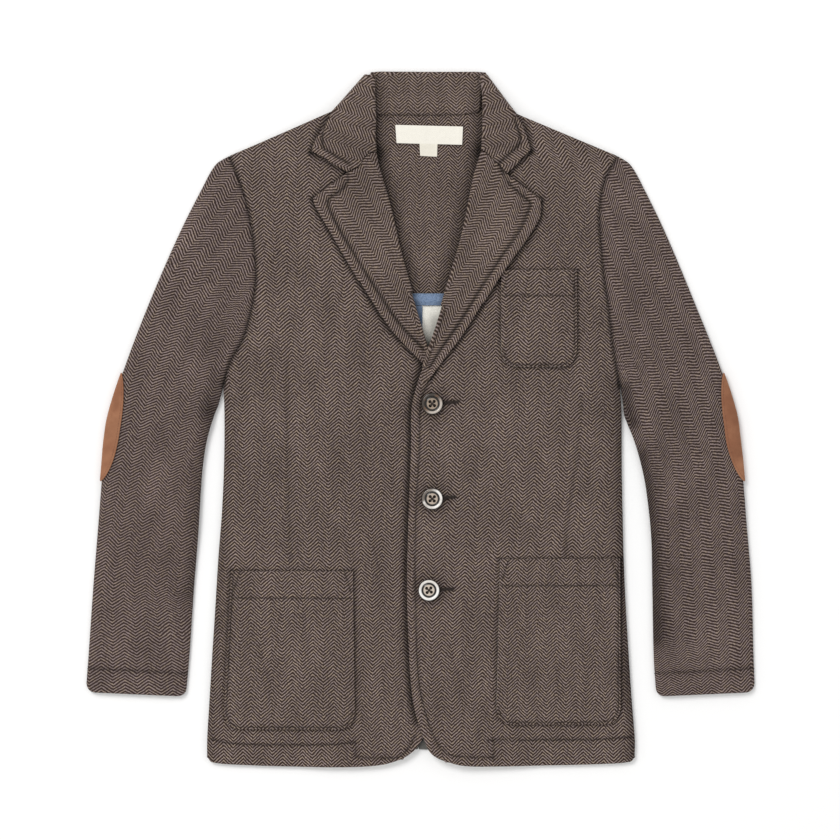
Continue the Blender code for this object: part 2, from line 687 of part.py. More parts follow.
def make_pockets():
    """The patch pockets, with rounded lower corners."""
    for name, (side, size) in POCKETS.items():
        outer, inner = size.bottom_outer, size.bottom_inner
        towards = math.copysign(1.0, inner.x - outer.x)
        outer_mid, outer_flat, outer_foot = pocket_corner(outer, towards)
        inner_mid, inner_flat, inner_foot = pocket_corner(inner, -towards)
        low = joined(smooth((outer_mid, outer_flat, outer_foot)),
                     straight(outer_foot, inner_foot),
                     smooth((inner_foot, inner_flat, inner_mid)))
        grid = patch(low=low, high=straight(size.top_outer, size.top_inner),
                     start=pocket_side(outer, size.top_outer, outer_mid),
                     end=pocket_side(inner, size.top_inner, inner_mid),
                     across=even(7), along=even(8))
        cloth(name, grid, front_top(side), CLOTH, HERRINGBONE)


def pocket_corner(corner, towards):
    """Three points of a rounded lower corner, from the middle of its curve to the bottom edge."""
    diagonal = POCKET_CORNER * (1 - math.sqrt(0.5))
    middle = Spot(corner.x + towards * diagonal, corner.y + diagonal)
    flat = Spot(corner.x + towards * POCKET_CORNER * POCKET_CORNER_FLAT,
                corner.y + POCKET_CORNER_BOW)
    foot = Spot(corner.x + towards * POCKET_CORNER, corner.y)
    return middle, flat, foot


def pocket_side(bottom, top, corner_middle):
    """Side of a pocket, from the middle of its rounded corner up to its top."""
    share = POCKET_CORNER / (top.y - bottom.y)
    shoulder = Spot(bottom.x + (top.x - bottom.x) * share, bottom.y + POCKET_CORNER)
    between = Spot((corner_middle.x + 2 * shoulder.x) / 3, (corner_middle.y + shoulder.y) / 2)
    return joined(smooth((corner_middle, between, shoulder)), straight(shoulder, top))


# --------------------------------------------------------------------------------------- sleeves

def section_edges(side, section):
    """Plan points where a sleeve's section meets the outer and the inner fold."""
    outer = Vector((side * reach_at(SLEEVE_OUTER_FOLD, side, section.outer_height),
                    section.outer_height))
    inner = Vector((side * reach_at(SLEEVE_INNER_FOLD, side, section.inner_height),
                    section.inner_height))
    return outer, inner


def armhole_normals(side, armhole):
    """Directions in plan that point off the body at each of an armhole's points."""
    normals = []
    for index in range(len(armhole)):
        before = armhole[max(index - 1, 0)]
        after = armhole[min(index + 1, len(armhole) - 1)]
        run = (after - before).normalized()
        rising = abs(run.x) if run.x * side > 0 else -abs(run.x)
        normals.append(Vector((side * abs(run.y), rising)))
    return normals


def section_plan(side, section, shares):
    """Plan points across a sleeve's section, from its outer fold to its inner one."""
    outer, inner = section_edges(side, section)
    armhole = at_shares(list(reversed(seam(ARMHOLE, side))), shares)
    cuff_height = SLEEVE_SECTIONS[-1].outer_height
    dip = CUFF_DIP * ease((CUFF_DIP_START - section.outer_height) / (CUFF_DIP_START - cuff_height))
    points = []
    for u, seam_point, normal in zip(shares, armhole, armhole_normals(side, armhole)):
        bend = seam_point - armhole[0].lerp(armhole[-1], u) + normal * GAP
        point = outer.lerp(inner, u) + bend * section.armhole_share
        point.y -= dip * 4 * u * (1 - u)
        points.append(point)
    return points


def rounded(distance, rounding):
    """Share of full height at a distance from a rounded edge."""
    t = min(distance / rounding, 1.0)
    return math.sqrt(max(1 - (1 - t)**2, 0.0))


def section_height(section, distance, upper):
    """Height of a sleeve's outer skin at a distance from the nearer fold."""
    if upper:
        crown = section.crown - FOLD_TIP
        return section.lift + FOLD_TIP + crown * rounded(distance, CROWN_ROUNDING)
    return section.lift + FOLD_TIP * (1 - rounded(distance, SOLE_ROUNDING))


def section_loop(side, section, inset):
    """Closed loop of a sleeve's section, at an inset from its outer skin."""
    plan = section_plan(side, section, ACROSS_SLEEVE)
    length = sum((after - before).length for before, after in zip(plan, plan[1:]))
    if inset:
        shrink = inset / length
        plan = section_plan(side, section, [shrink + u * (1 - 2 * shrink) for u in ACROSS_SLEEVE])
    middle = section.lift + FOLD_TIP
    above, below = [], []
    for u, point in zip(ACROSS_SLEEVE, plan):
        distance = min(u, 1 - u) * length + inset
        high = section_height(section, distance, True) - inset
        low = section_height(section, distance, False) + inset
        if u in (0.0, 1.0):
            high = middle
        elif inset:
            high = max(high, middle + HOLLOW_HALF)
            low = min(low, middle - HOLLOW_HALF)
        above.append((point.x, point.y, high))
        below.append((point.x, point.y, low))
    return above + list(reversed(below[1:-1]))


def make_sleeves():
    """The sleeves: flattened tubes, open at the cuff and at the armhole."""
    for name, side in (("sleeve_right", RIGHT), ("sleeve_left", LEFT)):
        outside = [section_loop(side, section, 0.0) for section in SLEEVE_SECTIONS]
        inside = [section_loop(side, section, SLEEVE_CLOTH) for section in SLEEVE_SECTIONS]
        wall = outside + list(reversed(inside)) + [outside[0]]
        mesh = grid_mesh(name, wall, closed_around=True)
        build = bmesh.new()
        build.from_mesh(mesh)
        bmesh.ops.remove_doubles(build, verts=build.verts, dist=1e-7)
        bmesh.ops.recalc_face_normals(build, faces=build.faces)
        build.to_mesh(mesh)
        build.free()
        place(name, mesh, HERRINGBONE)


def blended_section(height):
    """Sleeve section whose outer fold is at a height, between two rows of the table."""
    for high, low in zip(SLEEVE_SECTIONS, SLEEVE_SECTIONS[1:]):
        if low.outer_height <= height <= high.outer_height:
            t = (high.outer_height - height) / (high.outer_height - low.outer_height)
            return SleeveSection(*(a + (b - a) * t for a, b in zip(high, low)))
    return SLEEVE_SECTIONS[-1]


def patch_point(side, section, reach):
    """Point on the sleeve's skin, moved out; reach is positive above the fold."""
    outer, inner = section_edges(side, section)
    inward = (inner - outer).normalized()
    upper = reach >= 0
    distance = abs(reach)
    here = section_height(section, distance, upper)
    slope = (section_height(section, distance + SLOPE_STEP, upper) - here) / SLOPE_STEP
    out = Vector((-slope, 1.0)).normalized() if upper else Vector((slope, -1.0)).normalized()
    if distance < SLOPE_STEP:
        out = Vector((-1.0, 0.0))
    share = distance / (inner - outer).length
    plan = section_plan(side, section, (0.0, share, 1.0))[1] + inward * out.x * STACK_GAP
    return (plan.x, plan.y, here + out.y * STACK_GAP)


def make_elbow_patches():
    """Oval suede patches that wrap round the outer fold, mostly on the underside."""
    for name, side in (("elbow_patch_right", RIGHT), ("elbow_patch_left", LEFT)):
        points = []
        for share in even(PATCH_ROWS):
            angle = math.pi * (PATCH_END_SHARE + (1 - 2 * PATCH_END_SHARE) * share)
            section = blended_section(PATCH_MIDDLE + PATCH_HALF_LENGTH * math.cos(angle))
            row = []
            for reach in PATCH_SHARES:
                full_reach = PATCH_REACH_ABOVE if reach > 0 else PATCH_REACH_BELOW
                row.append(patch_point(side, section, math.sin(angle) * reach * full_reach))
            points.append(list(reversed(row)) if side == RIGHT else row)
        panel = place(name, grid_mesh(name, points), SUEDE)
        thicken(panel, PATCH_CLOTH, 1.0)


# ---------------------------------------------------------------------------------------- collar

def fold_band(name, path, fold, low, cloth_thickness):
    """Band along a plan path of (spot, inward, high) rows, folded from a low level up to a high one."""
    points = []
    for spot, inward, high in path:
        centre, half = (high + low) / 2, (high - low) / 2
        section = [(fold.leg, low + LEG_SINK)]
        for share in even(FOLD_STEPS):
            angle = math.pi * share
            section.append((fold.depth - fold.bulge * math.sin(angle),
                            centre - half * math.cos(angle)))
        section.append((fold.leg, high - LEG_SINK))
        points.append([(spot.x + inward.x * inset, spot.y + inward.y * inset, height)
                       for inset, height in section])
    band = place(name, grid_mesh(name, points), HERRINGBONE)
    thicken(band, cloth_thickness - fold.loss, 0.0)
    return band


def make_fall(top):
    """The part of the collar that lies on the floor, under the back."""
    corners = [Spot(COLLAR_CORNER[side].x - side * FOLD_CORNER_INSET, top) for side in (RIGHT, LEFT)]
    grid = patch(low=smooth(FALL_EDGE), high=straight(*corners),
                 start=straight(COLLAR_SHOULDER[RIGHT], corners[0]),
                 end=straight(COLLAR_SHOULDER[LEFT], corners[1]),
                 across=even(12), along=even(3))
    return cloth("collar", grid, lambda x, y: 0.0, COLLAR_CLOTH, HERRINGBONE)


def make_stand(top):
    """The collar's stand, inside the neck, up to the roll."""
    foot = [Spot(p.x, p.y + STAND_FOOT_RISE) for p in NECK_LINE[1:-1]]
    corners = [Spot(STAND_MIDDLE + side * STAND_HALF_WIDTH, top) for side in (RIGHT, LEFT)]
    grid = patch(low=smooth(foot), high=straight(*corners),
                 start=straight(foot[0], corners[0]), end=straight(foot[-1], corners[1]),
                 across=even(8), along=even(2))
    return cloth("collar_stand", grid, lambda x, y: COLLAR_STEP, COLLAR_CLOTH, HERRINGBONE)


def make_wing(side):
    """One wing of the collar, from the gorge seam up to the roll."""
    seam_gap = Vector((0.0, 2 * GAP))
    low = [p + seam_gap for p in gorge_and_edge(side, WING_POINT[side])]
    shoulder, corner = COLLAR_SHOULDER[side], COLLAR_CORNER[side]
    high_outer = Spot(corner.x - side * FOLD_INSET, corner.y - FOLD_CORNER_DROP)
    high_inner = Spot(WING_INNER[side][-1].x - side * WING_TOP_INSET, high_outer.y)
    inner = [Vector(WING_INNER[side][0]) + seam_gap, *WING_INNER[side][1:-1], high_inner]
    outer = joined([low[-1]], smooth(WING_OUTER[side])[3:], straight(shoulder, high_outer))
    grid = patch(low=low, high=straight(high_inner, high_outer), start=smooth(inner), end=outer,
                 across=shares_of(low), along=even(7))
    return cloth("collar_wing", grid, wing_under(side), COLLAR_CLOTH, HERRINGBONE)


def make_side_fold(side):
    """The fold between a wing and the fall, from the shoulder to the collar's corner."""
    shoulder, corner = Vector(COLLAR_SHOULDER[side]), Vector(COLLAR_CORNER[side])
    run = (corner - shoulder).normalized()
    inward = Vector((-side * abs(run.y), -abs(run.x)))
    path = []
    for share in FOLD_SHARES:
        spot = shoulder.lerp(corner, share)
        inside = spot + inward * FOLD_LEVEL_INSET
        path.append((spot, inward, wing_under(side)(inside.x, inside.y) + COLLAR_CLOTH / 2))
    return fold_band("collar_fold", path, SIDE_FOLD, COLLAR_CLOTH / 2, COLLAR_CLOTH)


def make_collar():
    """The collar: fall, stand, roll and the two wings, joined into one cloth."""
    top = COLLAR_TOP - FOLD_INSET
    collar = make_fall(top)
    roll_path = [(Spot(x, COLLAR_TOP), Vector((0.0, -1.0)), COLLAR_STEP + COLLAR_CLOTH / 2)
                 for x in (COLLAR_CORNER[RIGHT].x + 1.0, 0.0, 30.0, COLLAR_CORNER[LEFT].x - 1.0)]
    roll = fold_band("collar_roll", roll_path, ROLL_FOLD, COLLAR_CLOTH / 2, COLLAR_CLOTH)
    joins = [make_stand(top), roll]
    for side in (RIGHT, LEFT):
        joins += [make_wing(side), make_side_fold(side)]
    join(collar, joins)


def join(target, pieces):
    """Union of pieces into one closed solid, which keeps the target's name."""
    for piece in pieces:
        baked(piece)
        union = target.modifiers.new(piece.name, "BOOLEAN")
        union.operation = "UNION"
        union.solver = "EXACT"
        union.object = piece
    baked(target)
    for piece in pieces:
        bpy.data.objects.remove(piece)


def baked(shape):
    """Object whose modifiers have become its mesh."""
    bpy.context.view_layer.update()
    evaluated = shape.evaluated_get(bpy.context.evaluated_depsgraph_get())
    mesh = bpy.data.meshes.new_from_object(evaluated)
    shape.modifiers.clear()
    shape.data = mesh
    return shape


# --------------------------------------------------------------------------------------- buttons

def outline_mesh(name, points):
    """Mesh of one open line through points in the XZ plane, to be turned."""
    mesh = bpy.data.meshes.new(name)
    build = bmesh.new()
    verts = [build.verts.new((x * MM, 0.0, z * MM)) for x, z in points]
    for start, end in zip(verts, verts[1:]):
        build.edges.new((start, end))
    build.to_mesh(mesh)
    build.free()
    return mesh


def hole_pins():
    """The four round pins that cut the sewing holes."""
    mesh = bpy.data.meshes.new("button_holes")
    build = bmesh.new()
    for index in range(4):
        angle = math.radians(45 + 90 * index)
        centre = Vector((math.cos(angle), math.sin(angle), 0.0)) * BUTTON_HOLE_CIRCLE * MM
        pin = bmesh.ops.create_cone(build, segments=HOLE_STEPS, radius1=BUTTON_HOLE_RADIUS * MM,
                                    radius2=BUTTON_HOLE_RADIUS * MM,
                                    depth=3 * BUTTON_HEIGHT * MM, cap_ends=True)
        bmesh.ops.translate(build, verts=pin["verts"], vec=centre)
    build.to_mesh(mesh)
    build.free()
    pins = bpy.data.objects.new("button_holes", mesh)
    pins.hide_render = True
    pins.display_type = "WIRE"
    cutters.objects.link(pins)
    pins.parent = garment
    return pins


def make_buttons():
    """Four-hole buttons with a raised rim, fastened through the left front."""
    profile = [(0.0, 0.0)] + [(BUTTON_RADIUS - ring.inset, ring.height) for ring in BUTTON_RINGS]
    profile.append((0.0, BUTTON_FACE_HEIGHT))
    profile.reverse()
    pattern = place("button", outline_mesh("button", profile), HORN, HORN_ROUGHNESS)
    turn = pattern.modifiers.new("turn", "SCREW")
    turn.steps = BUTTON_STEPS
    turn.render_steps = BUTTON_STEPS
    turn.use_merge_vertices = True
    turn.merge_threshold = 1e-5
    turn.use_normal_calculate = True
    cut = pattern.modifiers.new("holes", "BOOLEAN")
    cut.operation = "DIFFERENCE"
    cut.solver = "EXACT"
    cut.object = hole_pins()
    baked(pattern)

    for name, spot in BUTTONS.items():
        colour = HORN if name == "button_top" else SILVER_HORN
        button = place(name, pattern.data.copy(), colour, HORN_ROUGHNESS)
        button.location = Vector((spot.x, spot.y, front_top(LEFT)(spot.x, spot.y))) * MM
    bpy.data.objects.remove(pattern)


# ------------------------------------------------------------------------------------------ build

for old in list(bpy.data.objects):
    bpy.data.objects.remove(old)

collection = bpy.data.collections.new("fleece_blazer")
cutters = bpy.data.collections.new("cutters")
bpy.context.scene.collection.children.link(collection)
bpy.context.scene.collection.children.link(cutters)

garment = bpy.data.objects.new("garment", None)
garment.location = Vector((-MIDDLE_OF_WIDTH, -LENGTH / 2, 0.0)) * MM
collection.objects.link(garment)

make_backs()
make_inside()
make_fronts()
make_lapels()
make_pockets()
make_sleeves()
make_elbow_patches()
make_collar()
make_buttons()
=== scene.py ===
"""Boy's single-breasted blazer in herringbone fleece, laid flat and buttoned, front up.

The garment lies on Z = 0. +X is the wearer's left and +Y runs from the hem to the collar. Tables hold
millimetres: across the garment from its middle line, and heights from the lowest point of the hem.
Left and right are the wearer's.
"""
import logging
import math
from dataclasses import dataclass, field
from enum import Enum
from typing import Callable, NamedTuple, Optional, Sequence

import bmesh
import bpy
import numpy as np
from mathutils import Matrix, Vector


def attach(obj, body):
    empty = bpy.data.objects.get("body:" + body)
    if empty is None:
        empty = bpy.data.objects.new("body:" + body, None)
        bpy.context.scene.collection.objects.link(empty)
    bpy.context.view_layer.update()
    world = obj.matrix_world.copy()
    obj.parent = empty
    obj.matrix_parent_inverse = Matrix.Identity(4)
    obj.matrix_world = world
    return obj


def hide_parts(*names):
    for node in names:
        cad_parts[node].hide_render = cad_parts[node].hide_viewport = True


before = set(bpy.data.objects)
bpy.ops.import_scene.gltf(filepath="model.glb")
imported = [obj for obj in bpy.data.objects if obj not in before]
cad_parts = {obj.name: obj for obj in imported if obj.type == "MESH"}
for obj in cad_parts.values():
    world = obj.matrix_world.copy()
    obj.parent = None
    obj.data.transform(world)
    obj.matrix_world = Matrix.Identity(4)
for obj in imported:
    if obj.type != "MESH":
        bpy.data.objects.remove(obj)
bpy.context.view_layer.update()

log = logging.getLogger("blazer")

Array = np.ndarray
Height = Callable[[Array, Array], Array]

MM = 0.001
TO_MM = 1000.0
MIDDLE_X = 0.4
MIDDLE_Y = -292.5

PAIR = 17.6  # width of one pair of the weave's columns
STRAIGHTENING = 34.0  # height over which a turned weave comes straight
MARK_REACH = 3.2  # widths of a mark beyond which it adds nothing
# How strongly sewn grooves take painted shade, sewn ridges painted light, and creases painted shade in
# troughs and painted light on tops.
GROOVE_SHADE, RIDGE_SHADE, CREASE_SHADE = 0.85, 0.18, 0.13
RIM_ANGLES = (50.0, 18.0, -18.0, -50.0)
FINE_STEP = 0.9
MARK_SPACING = 7.0
STITCH_SPACING = 1.2


class Side(Enum):
    """The wearer's two sides, with the sign of X on each."""

    RIGHT = -1
    LEFT = 1

    @property
    def word(self) -> str:
        """Name of the side, as node names have it."""
        return self.name.lower()


class Spot(NamedTuple):
    """Point in the plan, in garment millimetres."""

    x: float
    y: float


class Reach(NamedTuple):
    """Distance of an edge from the middle line at a height, on the wearer's right and left."""

    height: float
    right: float
    left: float


class SleeveSection(NamedTuple):
    """Section of a sleeve between its folds, with its armhole share, crown and lift."""

    outer_height: float
    inner_height: float
    armhole_share: float
    crown: float
    lift: float


class GrainRow(NamedTuple):
    """Place of one column peak of the weave at a height, and the width of a pair of columns."""

    height: float
    peak: float
    period: float


class Mark(NamedTuple):
    """Soft ridge, or trough where the rise is negative, along a line; among a piece's shade marks, a line
    of painted shade as dark as its rise.
    """

    line: tuple[Spot, ...]
    rise: float
    width: float
    fades: bool = True


def table_of(kind: type, *rows: tuple[float, ...]) -> tuple:
    """Rows of a table, all of one kind."""
    return tuple(kind(*map(float, row)) for row in rows)


def spots(*pairs: tuple[float, float]) -> tuple[Spot, ...]:
    """Points of a plan line."""
    return table_of(Spot, *pairs)


def crease(rise: float, width: float, *pairs: tuple[float, float]) -> Mark:
    """Soft mark along a line of points, which fades towards its ends."""
    return Mark(spots(*pairs), float(rise), float(width))


# ------------------------------------------------------------------------------- the garment's tables

CENTRE_BACK = -2.3

SIDE_SEAM = table_of(
    Reach, (9, 179.8, 179.6), (23.5, 179.8, 179.8), (54, 178, 177.4), (94, 175.6, 174.7),
    (134, 173, 172.3), (175, 170.5, 170.5), (215, 167.4, 169.5), (255, 165.6, 168.8),
    (300, 165.3, 168.6), (320, 166.3, 167.3))
ARMHOLE = table_of(
    Reach, (320, 166.3, 167.3), (341, 160.2, 163.4), (361, 149.5, 160.4), (391, 141.3, 157),
    (414, 138.7, 153.6), (437, 140.4, 151.4), (464.5, 144.5, 149.9), (491.5, 152, 153.7),
    (514.3, 161.3, 165.3))
SLEEVE_OUTER_FOLD = table_of(
    Reach, (71, 281.4, 280.6), (94, 279.7, 279.7), (154.5, 275.5, 278), (205, 271.3, 273.8),
    (255.5, 267.1, 269.6), (275.5, 265.4, 267.3), (295.7, 262.1, 264.6), (326, 252.8, 255.4),
    (386.5, 230.2, 231.8), (447, 204.1, 206.6), (487, 184, 187.3), (507.5, 172.2, 175.6),
    (514.3, 161.3, 165.3))
SLEEVE_INNER_FOLD = table_of(
    Reach, (64.5, 197.4, 197.6), (94, 194.8, 195.7), (154.5, 190.7, 194.5), (195, 187.3, 193.4),
    (235, 184.8, 189), (255.5, 183.1, 184.8), (275.5, 179.8, 178.9), (295.7, 173.9, 170.9),
    (306, 169.9, 169.7), (320, 166.3, 167.3))
SLEEVE_SECTIONS = table_of(
    SleeveSection, (514.3, 320, 1.00, 4.1, 0), (507.5, 319, 0.94, 4.5, 0), (487, 316, 0.83, 5.1, 0),
    (460, 312.5, 0.70, 5.7, 0), (428, 307, 0.54, 6.2, 0), (392, 299, 0.38, 6.4, 0.4),
    (358, 288, 0.24, 6.4, 1.7), (326, 272, 0.13, 6.2, 1.7), (296, 252, 0.06, 6, 1.7),
    (264, 229, 0.02, 6, 1.7), (230, 204, 0.00, 6, 1.7), (195, 176, 0.00, 6.2, 0.5),
    (154.5, 144, 0.00, 6.2, 0), (112, 106, 0.00, 5.8, 0), (71, 67.3, 0.00, 5, 0))

BACK_HEM = spots((-179.8, 9), (-90, 14), (CENTRE_BACK, 15.1), (90, 13.5), (179.6, 9))
FRONT_HEM = {
    Side.RIGHT: spots((-179.8, 9), (-175.6, 4.5), (-147.4, 2.2), (-100.8, 0.8), (-54.2, 0.8),
                      (-31.1, 2.9), (-15.4, 7.6)),
    Side.LEFT: spots((179.6, 9), (176, 5), (150, 3), (110, 2), (60, 1.2), (35.3, 2), (21, 5.6)),
}
FRONT_EDGE = {
    Side.RIGHT: spots((-15.4, 7.6), (-5.3, 15.1), (3, 28), (11, 60), (16.5, 116), (18, 200),
                      (17.5, 290), (11.5, 339)),
    Side.LEFT: spots((21, 5.6), (12.6, 9.2), (6.4, 15.1), (-2.9, 39.5), (-8, 65.5), (-10.9, 116),
                     (-11.8, 158), (-10.5, 212.5), (-8.4, 271.3), (-8, 300.7), (-4.6, 318),
                     (2.2, 338.2)),
}
ROLL_LINE = {
    Side.RIGHT: spots((11.5, 339), (5.9, 357.8), (-3.4, 388.9), (-16, 432.6), (-25.2, 472.1),
                      (-35.3, 507.4), (-37, 516.6)),
    Side.LEFT: spots((2.2, 338.2), (6.7, 353.2), (13.4, 374.2), (21.8, 404.9), (33.6, 446),
                     (43.7, 495.6), (50.4, 518.3)),
}
GORGE = {
    Side.RIGHT: spots((-37, 516.6), (-43.7, 515.4), (-47.5, 511.5), (-52.1, 504), (-62.2, 499.4)),
    Side.LEFT: spots((50.4, 518.3), (54.6, 515.8), (65.3, 505.7), (72.2, 498.2)),
}
LAPEL_POINT = {Side.RIGHT: Spot(-90.7, 478.0), Side.LEFT: Spot(100.8, 477.1)}
LAPEL_OUTER = {
    Side.RIGHT: spots((-90.7, 478), (-89, 472), (-76.4, 450.2), (-60.5, 422.5), (-42.8, 393.1),
                      (-24.4, 366.2), (1.3, 339.7)),
    Side.LEFT: spots((100.8, 477.1), (99.1, 460.3), (65.5, 410.8), (37, 365.4), (20.2, 343.6),
                     (7.6, 326.5)),
}
LAPEL_END = {
    Side.RIGHT: spots((11, 340.6), (1.3, 339.7)),
    Side.LEFT: spots((2.4, 338.8), (-3.2, 322), (7.6, 326.5)),
}

NECK_POINT = {Side.RIGHT: Spot(-59.6, 557.8), Side.LEFT: Spot(59.6, 557.8)}
SHOULDER_POINT = {Side.RIGHT: Spot(-161.3, 514.3), Side.LEFT: Spot(165.3, 514.3)}
NECK_EDGE = {
    Side.RIGHT: spots((-37, 516.6), (-44, 535), (-59.6, 557.8)),
    Side.LEFT: spots((50.4, 518.3), (53.5, 536), (59.6, 557.8)),
}
BACK_NECK_HEIGHT = 549.0
NECK_LINE = spots((-59.6, 557.8), (-50, 551.6), (-36, 549.3), (CENTRE_BACK, 549), (34, 549.3),
                  (49, 551.6), (59.6, 557.8))
WING_POINT = {Side.RIGHT: Spot(-92.4, 516.6), Side.LEFT: Spot(92.4, 517.5)}
WING_OUTER = {
    Side.RIGHT: spots((-92.4, 516.6), (-89, 528), (-84, 537.6), (-76.4, 549.4)),
    Side.LEFT: spots((92.4, 517.5), (91, 528), (87, 539.5), (80.6, 548.5)),
}
COLLAR_SHOULDER = {Side.RIGHT: Spot(-76.4, 549.4), Side.LEFT: Spot(80.6, 548.5)}
COLLAR_CORNER = {Side.RIGHT: Spot(-46.4, 584.0), Side.LEFT: Spot(54.6, 584.1)}
WING_INNER = {
    Side.RIGHT: spots((-37, 517.2), (-37.8, 530), (-37.8, 552.7), (-40.3, 584.6)),
    Side.LEFT: spots((50.4, 518.9), (51.2, 530), (52.1, 552.7), (53, 584.6)),
}
FALL_EDGE = spots((-76.4, 549.4), (-64, 541), (-34, 538), (4, 537.4), (41, 538), (68, 541),
                  (80.6, 548.5))
STAND_MIDDLE = 6.5
STAND_HALF_WIDTH = 46.0

FACING_FOOT = 399.0
FACING_LOW_HALF_WIDTH = 44.0
LABEL_CORNERS = spots((-20.5, 524.6), (34.6, 523.2), (35.3, 538.6), (-21.6, 540))
SIZE_TAB_CORNERS = spots((-0.7, 514), (13.6, 513.2), (13.9, 524), (-1.3, 524.5))


# -------------------------------------------------------------------------------------- plan curves

def smooth(points: Sequence[tuple[float, float]], steps: int = 10) -> Array:
    """Dense polyline on a smooth curve through points.

    Args:
        points: plan points that the curve passes through.
        steps: samples between one point and the next.

    Returns:
        Plan points, one a row.
    """
    knots = np.array([(p[0], p[1]) for p in points], dtype=float)
    ahead = np.vstack([knots[1:], knots[-1:]])
    behind = np.vstack([knots[:1], knots[:-1]])
    tangents = ahead - behind
    tangents /= np.linalg.norm(tangents, axis=1)[:, None]
    t = (np.arange(steps) / steps)[:, None]
    line = []
    for index in range(len(knots) - 1):
        start, end = knots[index], knots[index + 1]
        chord = np.linalg.norm(end - start)
        line.append(start * (2 * t**3 - 3 * t**2 + 1) + end * (3 * t**2 - 2 * t**3)
                    + tangents[index] * chord * (t**3 - 2 * t**2 + t)
                    + tangents[index + 1] * chord * (t**3 - t**2))
    return np.vstack(line + [knots[-1:]])


def straight(*points: tuple[float, float]) -> Array:
    """Polyline through plan points."""
    return np.array([(p[0], p[1]) for p in points], dtype=float)


def joined(*lines: Array) -> Array:
    """One polyline from several that meet end to end."""
    return np.vstack([lines[0]] + [line[1:] for line in lines[1:]])


def lengths_along(line: Array) -> Array:
    """Length of a polyline up to each of its points."""
    steps = np.linalg.norm(np.diff(line, axis=0), axis=1)
    return np.concatenate([[0.0], np.cumsum(steps)])


def at_shares(line: Array, shares: Array) -> Array:
    """Points of a polyline at shares of its length."""
    along = lengths_along(line)
    target = np.asarray(shares) * along[-1]
    return np.stack([np.interp(target, along, line[:, axis]) for axis in range(line.shape[1])],
                    axis=-1)


def offset_line(line: Array, distance: float) -> Array:
    """Polyline moved sideways, to the left of its direction where the distance is positive."""
    run = np.gradient(line, axis=0)
    run /= np.maximum(np.linalg.norm(run, axis=1), 1e-9)[:, None]
    return line + np.stack([-run[:, 1], run[:, 0]], axis=-1) * distance


def resampled(line: Array, spacing: float) -> Array:
    """Polyline with points at an even spacing."""
    count = max(int(math.ceil(lengths_along(line)[-1] / spacing)), 1)
    return at_shares(line, np.linspace(0.0, 1.0, count + 1))


def coons(low: Array, high: Array, start: Array, end: Array, across: Array, along: Array) -> Array:
    """Grid of plan points between four edges that meet at their ends.

    Args:
        low: edge across the first row.
        high: edge across the last row.
        start: edge along the first column.
        end: edge along the last column.
        across: shares of the columns.
        along: shares of the rows.

    Returns:
        Points by row and column.
    """
    low, high = at_shares(low, across), at_shares(high, across)
    start, end = at_shares(start, along), at_shares(end, along)
    u, v = across[None, :, None], along[:, None, None]
    sides = start[:, None] * (1 - u) + end[:, None] * u
    ends = low[None] * (1 - v) + high[None] * v
    corners = (low[0] * (1 - u) + low[-1] * u) * (1 - v) + (high[0] * (1 - u) + high[-1] * u) * v
    return sides + ends - corners


def line_distance(x: Array, y: Array, line: Array) -> tuple[Array, Array]:
    """Distance of points from a polyline, and the share of its length where each is nearest."""
    along = lengths_along(line)
    best = np.full(x.shape, 1e9)
    share = np.zeros(x.shape)
    for index in range(len(line) - 1):
        start, run = line[index], line[index + 1] - line[index]
        size = max(float(run @ run), 1e-12)
        t = np.clip(((x - start[0]) * run[0] + (y - start[1]) * run[1]) / size, 0.0, 1.0)
        gap = np.hypot(x - start[0] - t * run[0], y - start[1] - t * run[1])
        nearer = gap < best
        best = np.where(nearer, gap, best)
        share = np.where(nearer, (along[index] + t * math.sqrt(size)) / along[-1], share)
    return best, share


def ease(t: Array) -> Array:
    """Smooth step from 0 to 1."""
    t = np.clip(t, 0.0, 1.0)
    return t * t * (3 - 2 * t)


def table_curve(table: Sequence[Reach], side: Side) -> Array:
    """Smooth (height, reach) curve through a table of rows."""
    return smooth([(row.height, row.right if side is Side.RIGHT else row.left) for row in table])


def seam_line(table: Sequence[Reach], side: Side) -> Array:
    """A table of rows as the plan curve of one side."""
    return smooth([(side.value * (row.right if side is Side.RIGHT else row.left), row.height)
                   for row in table])


def body_side(side: Side) -> Array:
    """Side seam and armhole of one half, from the hem to the shoulder."""
    return joined(seam_line(SIDE_SEAM, side), seam_line(ARMHOLE, side))


def gorge_and_edge(side: Side, point: Spot) -> Array:
    """Gorge seam from the roll line to the notch, and the free edge from there to a point."""
    return straight(*GORGE[side], point)


# ------------------------------------------------------------------------------------------- layers

